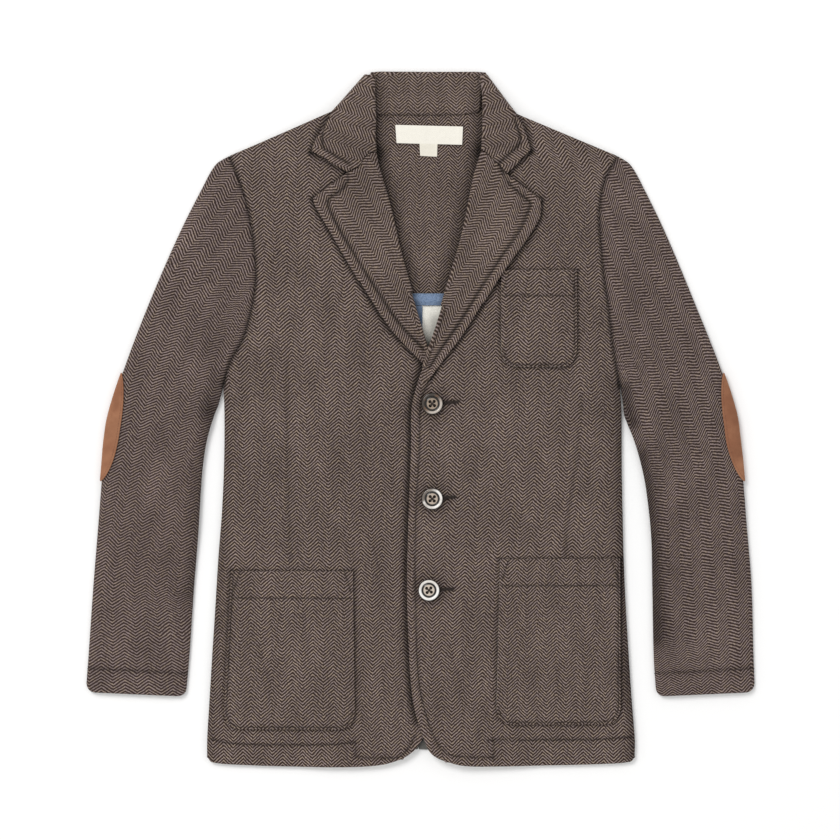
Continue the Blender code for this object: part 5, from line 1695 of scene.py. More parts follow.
FRONT_CREASES = {
    Side.RIGHT: (
        crease(-0.9, 9, (-143.6, 357.8), (-150, 325), (-156.2, 290.6)),
        crease(-0.5, 12, (-128, 300), (-134, 250), (-140, 205)),
        crease(-0.45, 18, (-60, 300), (-52, 230), (-40, 180)),
        crease(-0.45, 14, (-122, 470), (-112, 430), (-117, 392)),
        crease(0.4, 13, (-30, 120), (-36, 80), (-28, 40)),
    ),
    Side.LEFT: (
        crease(-1.1, 10, (146, 393), (152, 345), (155, 290), (158, 250)),
        crease(-0.5, 11, (140, 470), (136, 435), (141, 405)),
        crease(-0.45, 18, (60, 300), (52, 250), (62, 195)),
        crease(0.4, 14, (96, 300), (90, 250), (96, 200)),
        crease(-0.4, 13, (34, 150), (40, 100), (36, 50)),
    ),
}


@dataclass
class Fronts:
    """The two fronts, with their hems, front edges and darts."""

    wardrobe: Wardrobe
    sewing: Sewing
    roll_inset: float = 1.6
    panels: dict[Side, Panel] = field(default_factory=dict)

    def panel(self, side: Side) -> Panel:
        """Panel of one front."""
        roll = offset_line(smooth(ROLL_LINE[side]), side.value * -self.roll_inset)
        edge = smooth(FRONT_EDGE[side])
        neck = smooth(NECK_EDGE[side])
        inner = joined(edge[:-1], roll[2:-2], neck[2:])
        marks = list(FRONT_CREASES[side])
        marks += [groove(smooth(line)) for line in FRONT_STITCHES[side]]
        marks += [groove(smooth(line), 0.42, 1.6) for line in DARTS[side]]
        marks.append(groove(seam_line(ARMHOLE, side), 0.9, 1.9))
        if side is Side.LEFT:
            marks.append(ridge(offset_line(edge, -3.6), 0.55, 2.8))
        return Panel("front_" + side.word + "_cloth", smooth(FRONT_HEM[side]),
                     straight(SHOULDER_POINT[side], NECK_POINT[side]), body_side(side), inner,
                     LAYERS.front(side), LAYERS.cloth, BODY_GRAIN[side], Relief(tuple(marks)),
                     Relief(self.shade(side)), step=1.9, row_step=2.3, finer_along=((17.0, 27.0),))

    def shade(self, side: Side) -> tuple[Mark, ...]:
        """Painted shade where the lapel, the collar, the pockets, the other front and the buttons with
        their buttonholes shade a front, and along its side seam.
        """
        marks = [contact_shade(smooth(LAPEL_OUTER[side]), 0.95 if side is Side.RIGHT else 0.75, 2.5),
                 contact_shade(straight(GORGE[side][-1], LAPEL_POINT[side]), 0.65, 2.4),
                 contact_shade(straight(GORGE[side][-1], WING_POINT[side]), 0.7, 2.6),
                 contact_shade(smooth(WING_OUTER[side]), 0.65, 2.6),
                 contact_shade(seam_line(SIDE_SEAM, side), 0.22 if side is Side.RIGHT else 0.6, 7.0)]
        for size in POCKETS.values():
            if size.side is side:
                low, start, end = pocket_edges(size)
                marks.append(contact_shade(low, 0.18, 1.4))
                marks += [contact_shade(edge, 0.5, 1.5) for edge in (start, end)]
                marks.append(contact_shade(straight(size.top_outer, size.top_inner), 0.5, 1.5))
        if side is Side.RIGHT:
            marks.append(contact_shade(offset_line(smooth(FRONT_EDGE[Side.LEFT][3:]), 1.0), 0.9, 3.4))
        else:
            for place in BUTTONS.values():
                centre = place.middle
                # Painted shade round each button and along its buttonhole.
                marks.append(Mark((Spot(centre.x - 0.2, centre.y), Spot(centre.x + 0.2, centre.y)),
                                  0.95, 10.8, False))
                marks.append(contact_shade(straight(centre, place.hole_end), 1.1, 1.6))
        return tuple(marks)

    def build(self) -> None:
        """Builds both fronts and lays their stitch lines."""
        for side in Side:
            panel = self.panel(side)
            self.panels[side] = panel
            panel.lay("herringbone_fleece", self.wardrobe.body, self.wardrobe.inner)
            for line in FRONT_STITCHES[side]:
                self.sewing.on_panel(panel, smooth(line))


LAPEL_STITCHES = {
    Side.RIGHT: spots((-61.2, 499), (-63, 489), (-79.4, 476), (-71, 457), (-54, 428), (-36, 399.5),
                      (-17.5, 372.5), (2, 352)),
    Side.LEFT: spots((66, 505), (73, 492), (92.2, 474), (84, 454), (60, 418), (31.5, 372.8),
                     (17, 352), (7.2, 336)),
}
LAPEL_CREASES = {
    Side.RIGHT: (crease(-0.4, 7, (-30, 480), (-25, 450), (-12, 405)),
                 crease(0.4, 12, (-60, 470), (-42, 440), (-22, 400))),
    Side.LEFT: (crease(-0.4, 7, (48, 480), (42, 450), (28, 410)),
                crease(0.4, 12, (72, 474), (60, 446), (36, 402))),
}


@dataclass
class Lapels:
    """The lapels, turned back over the fronts along the roll lines."""

    wardrobe: Wardrobe
    sewing: Sewing
    grain_angle: dict[Side, float] = field(default_factory=lambda: {Side.RIGHT: 30.0,
                                                                    Side.LEFT: -31.0})
    grain_pivot: dict[Side, Spot] = field(default_factory=lambda: {Side.RIGHT: Spot(3.0, 342.0),
                                                                   Side.LEFT: Spot(4.0, 335.0)})
    grain_skew: dict[Side, float] = field(default_factory=lambda: {Side.RIGHT: -0.21,
                                                                   Side.LEFT: 0.12})
    edge_lift: float = 0.6
    end_drop: float = 1.7

    def build(self) -> None:
        """Builds both lapels."""
        for side in Side:
            roll = smooth((LAPEL_END[side][0],) + ROLL_LINE[side][1:])
            outer = smooth(LAPEL_OUTER[side])[::-1]
            top = gorge_and_edge(side, LAPEL_POINT[side])
            stitch = self.stitch_line(side)
            free_edge = joined(straight(GORGE[side][-1], LAPEL_POINT[side]), outer[::-1])
            marks = LAPEL_CREASES[side] + (groove(stitch, 0.95, 1.5),
                                           ridge(offset_line(free_edge, side.value * -3.4), 0.5, 2.4))
            radius = (LAYERS.lapel_cloth / 2 + LAYERS.stack_gap + LAYERS.cloth / 2) / 2
            panel = Panel("lapel_" + side.word + "_cloth", straight(*LAPEL_END[side]), top, roll, outer,
                          self.height(side, outer), LAYERS.lapel_cloth,
                          Grain(BODY_GRAIN[side].rows, self.grain_angle[side],
                                self.grain_pivot[side], straight_below=356.0,
                                skew=self.grain_skew[side]),
                          Relief(marks), step=1.8, row_step=1.8, side_steps=(ROLL_STEPS, EDGE_STEPS),
                          end_steps=((0.0, 1.4, 2.4), EDGE_STEPS), roll_radius=radius)
            panel.lay("herringbone_fleece", self.wardrobe.lapel, self.wardrobe.body)
            self.sewing.on_panel(panel, stitch)

    def stitch_line(self, side: Side) -> Array:
        """Topstitch beside the lapel's free edges, with its corner kept sharp."""
        spots = LAPEL_STITCHES[side]
        return joined(smooth(spots[:3]), smooth(spots[2:]))

    def height(self, side: Side, outer: Array) -> Height:
        """Underside of a lapel, which lifts a little towards its free edge."""
        base = LAYERS.lapel(side)

        def under(x: Array, y: Array) -> Array:
            """Underside at plan points."""
            gap, _ = line_distance(x, y, outer[::4])
            lift = self.edge_lift * ease((16.0 - gap) / 16.0) * ease((y - 350.0) / 60.0)
            return base(x, y) + lift - self.end_drop * ease((350.0 - y) / 18.0)
        return under


class PocketSize(NamedTuple):
    """Corners of a pocket, from its outer side to its inner one, and its hem's height."""

    side: Side
    top_outer: Spot
    top_inner: Spot
    bottom_outer: Spot
    bottom_inner: Spot
    hem: float
    peak: float
    period: float


POCKETS = {
    "chest_pocket": PocketSize(Side.LEFT, Spot(131.5, 418.3), Spot(66.4, 418.3), Spot(131.5, 336.0),
                               Spot(66.4, 336.0), 396.5, 80.6, 18.9),
    "lower_pocket_right": PocketSize(Side.RIGHT, Spot(-160.0, 165.5), Spot(-56.3, 165.5),
                                     Spot(-166.8, 32.0), Spot(-54.6, 32.0), 142.8, -73.1, 17.4),
    "lower_pocket_left": PocketSize(Side.LEFT, Spot(168.0, 176.0), Spot(65.5, 175.6),
                                    Spot(168.4, 36.1), Spot(62.2, 36.1), 153.3, 80.6, 16.4),
}


POCKET_CORNER = 15.0
POCKET_FLAT = 0.62
POCKET_BOW = 1.1


def pocket_corner(corner: Spot, towards: float) -> tuple[Spot, Spot, Spot]:
    """Three points of a rounded lower corner, from the middle of its curve to the edge."""
    diagonal = POCKET_CORNER * (1 - math.sqrt(0.5))
    return (Spot(corner.x + towards * diagonal, corner.y + diagonal),
            Spot(corner.x + towards * POCKET_CORNER * POCKET_FLAT, corner.y + POCKET_BOW),
            Spot(corner.x + towards * POCKET_CORNER, corner.y))


def pocket_side(bottom: Spot, top: Spot, corner_middle: Spot) -> Array:
    """Side of a pocket, from the middle of its rounded corner up to its top."""
    share = POCKET_CORNER / (top.y - bottom.y)
    shoulder = Spot(bottom.x + (top.x - bottom.x) * share, bottom.y + POCKET_CORNER)
    between = Spot((corner_middle.x + 2 * shoulder.x) / 3, (corner_middle.y + shoulder.y) / 2)
    return joined(smooth((corner_middle, between, shoulder)), straight(shoulder, top))


def pocket_edges(size: PocketSize) -> tuple[Array, Array, Array]:
    """Lower edge and the two sides of a pocket, which meet in the middle of its corners."""
    outer, inner = size.bottom_outer, size.bottom_inner
    towards = math.copysign(1.0, inner.x - outer.x)
    outer_mid, outer_flat, outer_foot = pocket_corner(outer, towards)
    inner_mid, inner_flat, inner_foot = pocket_corner(inner, -towards)
    low = joined(smooth((outer_mid, outer_flat, outer_foot)), straight(outer_foot, inner_foot),
                 smooth((inner_foot, inner_flat, inner_mid)))
    return (low, pocket_side(outer, size.top_outer, outer_mid),
            pocket_side(inner, size.top_inner, inner_mid))


@dataclass
class Pockets:
    """The patch pockets, with rounded lower corners, a stitched hem and tacked top corners."""

    wardrobe: Wardrobe
    sewing: Sewing
    stitch_inset: float = 2.5
    tack: Spot = Spot(5.2, 17.0)

    def build(self) -> None:
        """Builds the three pockets."""
        for name, size in POCKETS.items():
            outer, inner = size.bottom_outer, size.bottom_inner
            towards = math.copysign(1.0, inner.x - outer.x)
            low, start, end = pocket_edges(size)
            outline = joined(start[::-1], low, end)
            stitches = self.stitches(size, outline, towards)
            marks = [groove(line, 0.5, 1.0) for line in stitches]
            width = abs(inner.x - outer.x)
            middle = Spot((outer.x + inner.x) / 2, (outer.y + size.top_outer.y) / 2)
            marks.append(Mark((Spot(middle.x - width * 0.3, middle.y - 20.0), middle,
                               Spot(middle.x + width * 0.28, middle.y - 14.0)), 0.45, 16.0))
            panel = Panel(name + "_cloth", low, straight(size.top_outer, size.top_inner), start, end,
                          LAYERS.on_front(size.side), LAYERS.cloth,
                          Grain((GrainRow(0.0, size.peak, size.period),)), Relief(tuple(marks)),
                          step=1.7, row_step=1.7, side_steps=(POCKET_STEPS, POCKET_STEPS),
                          end_steps=(POCKET_STEPS, EDGE_STEPS),
                          finer_along=self.hem_band(size, start))
            panel.lay("herringbone_fleece", self.wardrobe.body, self.wardrobe.inner)
            for line in stitches:
                self.sewing.on_panel(panel, line)

    def hem_band(self, size: PocketSize, start: Array) -> tuple[tuple[float, float], ...]:
        """Lengths along a pocket's side between which the hem's groove lies."""
        from_top = size.top_outer.y - size.hem
        length = lengths_along(start)[-1]
        return ((length - from_top - 3.5, length - from_top + 3.5),)

    def stitches(self, size: PocketSize, outline: Array, towards: float) -> list[Array]:
        """Stitch lines of a pocket: round its edge, along its hem and over its top corners."""
        edge = offset_line(outline, towards * self.stitch_inset)
        inside = (min(size.top_outer.x, size.top_inner.x) + self.stitch_inset,
                  max(size.top_outer.x, size.top_inner.x) - self.stitch_inset)
        lines = [edge[::2], straight((inside[0], size.hem), (inside[1], size.hem))]
        for corner, way in ((size.top_outer, towards), (size.top_inner, -towards)):
            start = Spot(corner.x + way * self.stitch_inset, corner.y - self.tack.y)
            lines.append(straight(start, (corner.x + way * (self.stitch_inset + self.tack.x),
                                          corner.y - 1.2)))
        return lines


SLEEVE_CREASES = {
    Side.RIGHT: (
        crease(-1.3, 7.5, (-194, 393.1), (-179.8, 363.7), (-175.6, 342.7), (-169, 324)),
        crease(0.9, 9, (-205, 372), (-196, 340), (-184, 312)),
        crease(-0.8, 10, (-170, 470), (-176, 430), (-170, 396)),
        crease(-0.8, 10, (-232, 300), (-214, 268), (-196, 250)),
        crease(0.6, 11, (-246, 262), (-226, 232), (-200, 218)),
        crease(-0.5, 13, (-250, 190), (-228, 170), (-208, 166)),
        crease(-0.5, 9, (-224, 150), (-232, 112), (-229, 84)),
        crease(-0.9, 3, (-229.7, 86), (-229.7, 76)),
    ),
    Side.LEFT: (
        crease(-1.1, 8, (186, 420), (182, 380), (172, 345)),
        crease(-0.9, 7, (206, 400), (194, 360), (180, 324)),
        crease(0.8, 8, (196, 392), (186, 350), (176, 326)),
        crease(-0.8, 10, (228, 330), (214, 290), (196, 262)),
        crease(0.6, 11, (240, 268), (222, 240), (203, 226)),
        crease(-0.7, 6, (204, 147), (205, 125), (204, 104)),
        crease(-0.5, 13, (250, 190), (232, 164), (214, 150)),
        crease(0.4, 12, (256, 130), (240, 104), (224, 90)),
    ),
}


class SleeveWeave(NamedTuple):
    """How the weave of a sleeve lies: a column's peak line, and its widths and skew by height."""

    axis: tuple[Spot, ...]
    heights: tuple[float, ...]
    widths: tuple[float, ...]
    skew: tuple[float, ...]


SLEEVE_WEAVE = {
    Side.RIGHT: SleeveWeave(
        spots((-80, 545), (-150, 451), (-185, 402), (-210, 343), (-230.2, 275.5), (-242, 208),
              (-249.5, 150), (-249, 107), (-248, 30)),
        (60.0, 107.0, 141.0, 208.0, 275.0, 343.0, 450.0), (20.2, 19.6, 18.2, 17.0, 16.4, 17.2, 17.9),
        (0.0, 0.02, 0.03, 0.01, 0.0, -0.03, -0.12)),
    Side.LEFT: SleeveWeave(
        spots((126, 560), (171.4, 464.5), (183.5, 435), (216, 360), (231.8, 309), (241.5, 275.5),
              (247.8, 242), (254.5, 175), (258.5, 107.5), (263, 30)),
        (60.0, 80.0, 107.0, 175.0, 208.0, 275.0, 360.0, 460.0),
        (16.6, 17.0, 18.2, 18.4, 17.6, 17.1, 16.3, 16.1),
        (-0.05, -0.15, -0.36, -0.43, -0.43, -0.43, -0.43, -0.43)),
}


# Painted shade along the sleeves' inner folds and near the armpits.
SLEEVE_SHADES = {
    Side.RIGHT: ((spots((-176, 300), (-184, 240), (-189, 190), (-191, 150)),
                  0.42, 9.0),
                 (spots((-169, 325), (-180, 300)), 0.35, 8.0)),
    Side.LEFT: ((spots((171, 318), (173, 305), (178, 290)), 0.6, 6.0),
                (spots((184, 262), (190, 230), (195, 165), (198, 110)),
                 0.7, 9.0)),
}


@dataclass
class Sleeve:
    """One sleeve: a flattened tube, open at the cuff and at the armhole."""

    side: Side
    wardrobe: Wardrobe
    sewing: Sewing
    rows: int = 170
    fold_tip: float = 2.2
    crown_rounding: float = 16.0
    sole_rounding: float = 4.0
    cuff_dip: float = 6.9
    cuff_dip_start: float = 82.0
    cuff_corner: float = 7.5
    cuff_stitches_at: float = 83.4
    upper_stitch_rise: float = 0.05
    under_stitch_rise: float = 0.4
    gap: float = 0.3
    hollow_half: float = 0.05

    def __post_init__(self) -> None:
        """Reads the folds and the armhole once."""
        self.outer = table_curve(SLEEVE_OUTER_FOLD, self.side)
        self.inner = table_curve(SLEEVE_INNER_FOLD, self.side)
        self.armhole = seam_line(ARMHOLE, self.side)[::-1]
        self.table = smooth_rows(SLEEVE_SECTIONS)
        seam = seam_line(ARMHOLE, self.side)
        cuff = self.plan(self.section(self.cuff_stitches_at), np.linspace(0.0, 1.0, 12))
        self.relief = Relief(SLEEVE_CREASES[self.side] + (groove(seam, 0.9, 1.9),
                                                          groove(cuff, 0.6, 1.7)))
        self.shade = Relief(tuple(contact_shade(smooth(line), depth, width)
                                  for line, depth, width in SLEEVE_SHADES[self.side]))
        self.shares = self.across_shares()

    @staticmethod
    def across_shares() -> Array:
        """Shares across the sleeve, finer at its folds."""
        edge = np.array([0.0, 0.006, 0.014, 0.024, 0.036, 0.05, 0.066, 0.085, 0.105])
        middle = np.linspace(0.105, 0.895, 32)[1:-1]
        return np.concatenate([edge, middle, 1 - edge[::-1]])

    def section(self, outer_height: float) -> SleeveSection:
        """Section whose outer fold is at a height."""
        heights = self.table[:, 0]
        return SleeveSection(*(float(np.interp(-outer_height, -heights, self.table[:, k]))
                               for k in range(5)))

    def folds(self, section: SleeveSection) -> tuple[Array, Array]:
        """Plan points where a section meets the outer and the inner fold."""
        sign = self.side.value
        outer = np.array([sign * np.interp(section.outer_height, self.outer[:, 0], self.outer[:, 1]),
                          section.outer_height])
        inner = np.array([sign * np.interp(section.inner_height, self.inner[:, 0], self.inner[:, 1]),
                          section.inner_height])
        return outer, inner

    def plan(self, section: SleeveSection, shares: Array) -> Array:
        """Plan points across a section, from its outer fold to its inner one."""
        outer, inner = self.folds(section)
        seam = at_shares(self.armhole, shares)
        run = unit(np.gradient(at_shares(self.armhole, np.linspace(0, 1, 60)), axis=0))
        run = np.stack([np.interp(shares, np.linspace(0, 1, 60), run[:, k]) for k in (0, 1)], axis=-1)
        sign = self.side.value
        rising = np.where(run[:, 0] * sign > 0, np.abs(run[:, 0]), -np.abs(run[:, 0]))
        normal = np.stack([sign * np.abs(run[:, 1]), rising], axis=-1)
        u = shares[:, None]
        chord = self.armhole[0] * (1 - u) + self.armhole[-1] * u
        points = outer * (1 - u) + inner * u + (seam - chord + normal * self.gap) * section.armhole_share
        span = self.cuff_dip_start - SLEEVE_SECTIONS[-1].outer_height
        dip = self.cuff_dip * ease((self.cuff_dip_start - section.outer_height) / span)
        length = float(np.linalg.norm(inner - outer))
        points[:, 1] -= dip * self.rounded(np.minimum(shares, 1 - shares) * length, self.cuff_corner)
        return points

    def rounded(self, distance: Array, rounding: float) -> Array:
        """Share of full height at a distance from a rounded fold."""
        t = np.clip(distance / rounding, 0.0, 1.0)
        return np.sqrt(np.maximum(1 - (1 - t)**2, 0.0))

    def height(self, section: SleeveSection, distance: Array, upper: bool) -> Array:
        """Height of the outer skin at a distance from the nearer fold."""
        if upper:
            crown = section.crown - self.fold_tip
            return section.lift + self.fold_tip + crown * self.rounded(distance, self.crown_rounding)
        return section.lift + self.fold_tip * (1 - self.rounded(distance, self.sole_rounding))

    def loop(self, section: SleeveSection, inset: float) -> Array:
        """Closed loop of 3-D points round a section, at an inset from its outer skin."""
        plan = self.plan(section, self.shares)
        length = lengths_along(plan)[-1]
        if inset:
            shrink = inset / length
            plan = self.plan(section, shrink + self.shares * (1 - 2 * shrink))
        middle = section.lift + self.fold_tip
        distance = np.minimum(self.shares, 1 - self.shares) * length + inset
        high = self.height(section, distance, True) - inset
        low = self.height(section, distance, False) + inset
        if inset:
            high = np.maximum(high, middle + self.hollow_half)
            low = np.minimum(low, middle - self.hollow_half)
        else:
            fade = ease(distance / 12.0)
            high = high + self.relief.rise(plan[:, 0], plan[:, 1]) * fade
        high[0] = high[-1] = middle
        above = np.column_stack([plan, high])
        below = np.column_stack([plan, low])
        return np.vstack([above, below[-2:0:-1]])

    def heights(self) -> Array:
        """Outer heights of the rows, finer at the two ends."""
        top, foot = SLEEVE_SECTIONS[0].outer_height, SLEEVE_SECTIONS[-1].outer_height
        t = np.linspace(0.0, 1.0, self.rows)
        even = top + (foot - top) * t
        ends = (top - np.array([0.5, 1.2]), foot + np.array([1.4, 0.6]))
        return np.sort(np.concatenate([even, *ends]))[::-1]

    def build(self) -> None:
        """Builds the sleeve and lays its cuff stitches."""
        name = "sleeve_" + self.side.word
        sections = [self.section(h) for h in self.heights()]
        outside = [self.loop(s, 0.0) for s in sections]
        inside = [self.loop(s, LAYERS.sleeve_cloth) for s in sections]
        cuff_rim = self.rim(outside[-1], inside[-1], outside[-2])
        arm_rim = self.rim(outside[0], inside[0], outside[1])
        rings = np.array(outside + [cuff_rim] + inside[::-1] + [arm_rim])
        rows, count = rings.shape[:2]
        weave = SLEEVE_WEAVE[self.side]
        grain = AxisGrain(smooth(weave.axis), SLEEVE_TONE.pair_width, weave.heights, weave.widths,
                          weave.skew)
        cloth_map = grain.map(rings[..., 0], rings[..., 1])
        index = np.arange(rows * count).reshape(rows, count)
        a, b = index, np.roll(index, -1, axis=0)
        quads = np.stack([a, np.roll(a, -1, axis=1), np.roll(b, -1, axis=1), b], axis=-1)
        inner = np.zeros((rows, count), dtype=bool)
        inner[len(outside) + 1:-2] = True
        quads = quads.reshape(-1, 4)
        if self.side is Side.LEFT:
            quads = quads[:, ::-1]
        x, y = rings[..., 0], rings[..., 1]
        # Painted shade of the creases, grooves and shade lines, with painted light on crease tops.
        hollow = self.relief.hollow(x, y) + self.shade.rise(x, y)
        mesh = mesh_of(name + "_cloth", rings.reshape(-1, 3), quads, cloth_map.reshape(-1, 2),
                       inner.ravel(), hollow.ravel())
        piece = cloth_object(name + "_cloth", mesh,
                             [self.wardrobe.sleeve.material, self.wardrobe.inner.material])
        declare(piece, "herringbone_fleece", name)
        declare_sheet(np.array([self.plan(s, self.shares) for s in sections]), layers=2)
        self.cuff_stitches()

    def rim(self, outer: Array, inner: Array, before: Array) -> Array:
        """Loop midway through the wall at an open end, pushed out a little."""
        out = unit((outer - before)[:, :2]) * LAYERS.sleeve_cloth * 0.35
        middle = (outer + inner) / 2
        middle[:, :2] += out
        return middle

    def cuff_stitches(self) -> None:
        """Lays the row of stitches above the cuff, on the upper face and the lower one."""
        section = self.section(self.cuff_stitches_at)
        loop = self.loop(section, 0.0)
        count = len(self.shares)
        for row, rise in ((loop[1:count - 1], self.upper_stitch_rise),
                          (loop[count + 2:-2], self.under_stitch_rise)):
            self.sewing.top.append(resampled(row + np.array([0.0, 0.0, rise]), STITCH_SPACING))


def smooth_rows(sections: Sequence[SleeveSection]) -> Array:
    """Rows of the sleeve's table with smooth ones between them, by falling outer height."""
    table = np.array(sections, dtype=float)
    fine = np.linspace(0, len(table) - 1, 12 * (len(table) - 1) + 1)
    columns = []
    for k in range(table.shape[1]):
        line = smooth([(i, table[i, k]) for i in range(len(table))], 12)
        columns.append(np.interp(fine, line[:, 0], line[:, 1]))
    return np.stack(columns, axis=-1)


@dataclass
class ElbowPatch:
    """Oval suede patch that wraps round a sleeve's outer fold, mostly on its underside."""

    sleeve: Sleeve
    wardrobe: Wardrobe
    sewing: Sewing
    middle: float = 286.0
    half_length: float = 45.0
    reach_above: float = 11.5
    reach_below: float = 58.0
    lens: float = 1.7
    rows: int = 44
    slope_step: float = 0.05
    lowest_stitch: float = 0.3

    def point(self, section: SleeveSection, reach: float, out_by: float) -> Array:
        """Point on the sleeve's skin, moved out; reach is positive above the fold."""
        outer, inner = self.sleeve.folds(section)
        inward = unit(inner - outer)
        distance = abs(reach)
        upper = reach >= 0
        pair = self.sleeve.height(section, np.array([distance, distance + self.slope_step]), upper)
        slope = float(pair[1] - pair[0]) / self.slope_step
        out = np.array([-slope, 1.0]) if upper else np.array([slope, -1.0])
        out = out / np.linalg.norm(out) if distance >= self.slope_step else np.array([-1.0, 0.0])
        share = distance / np.linalg.norm(inner - outer)
        plan = self.sleeve.plan(section, np.array([0.0, share, 1.0]))[1] + inward * out[0] * out_by
        return np.array([plan[0], plan[1], float(pair[0]) + out[1] * out_by])

    def build(self) -> None:
        """Builds the patch and its edge stitches."""
        side = self.sleeve.side
        name = "elbow_patch_" + side.word
        shares = np.concatenate([-np.linspace(1.0, 0.12, 26), -np.array([0.08, 0.05, 0.025]), [0.0],
                                 np.array([0.05, 0.1, 0.17]), np.linspace(0.25, 1.0, 12)])
        grid, maps = [], []
        for t in np.linspace(0.0, 1.0, self.rows):
            angle = math.pi * (0.03 + 0.94 * t)
            section = self.sleeve.section(self.middle + self.half_length * math.cos(angle))
            row, row_map = [], []
            for share in shares:
                full = self.reach_above if share > 0 else self.reach_below
                reach = math.sin(angle)**self.lens * share * full
                row.append(self.point(section, reach, LAYERS.stack_gap + LAYERS.patch_cloth / 2))
                row_map.append((reach * MM, section.outer_height * MM))
            grid.append(row)
            maps.append(row_map)
        grid, maps = np.array(grid), np.array(maps)
        if side is Side.RIGHT:
            grid, maps = grid[:, ::-1], maps[:, ::-1]
        mesh = cloth_shell(name + "_cloth", grid, LAYERS.patch_cloth, maps, inner_face=False)
        piece = cloth_object(name + "_cloth", mesh, [self.wardrobe.suede.material])
        declare(piece, "suede", name)
        declare_sheet(maps / MM)
        self.stitches()

    def stitches(self) -> None:
        """Lays a row of stitches just inside the patch's edge."""
        line = []
        out_by = LAYERS.stack_gap + LAYERS.patch_cloth
        for share, start, stop in ((0.88, 0.06, 0.94), (-0.965, 0.94, 0.06)):
            full = self.reach_above if share > 0 else self.reach_below
            for t in np.linspace(start, stop, 46):
                angle = math.pi * t
                section = self.sleeve.section(self.middle + 0.96 * self.half_length * math.cos(angle))
                line.append(self.point(section, math.sin(angle)**self.lens * share * full, out_by))
        line.append(line[0])
        line = np.array(line)
        line[:, 2] = np.maximum(line[:, 2], self.lowest_stitch)
        self.sewing.patch.append(line)


WING_STITCHES = {
    Side.RIGHT: spots((-78.6, 543.5), (-82.2, 533), (-82.6, 521), (-72, 513.4), (-59.6, 506.5)),
    Side.LEFT: spots((77.3, 546.8), (82.3, 533), (83.6, 524.2), (74.5, 515.6), (65.5, 507.5)),
}


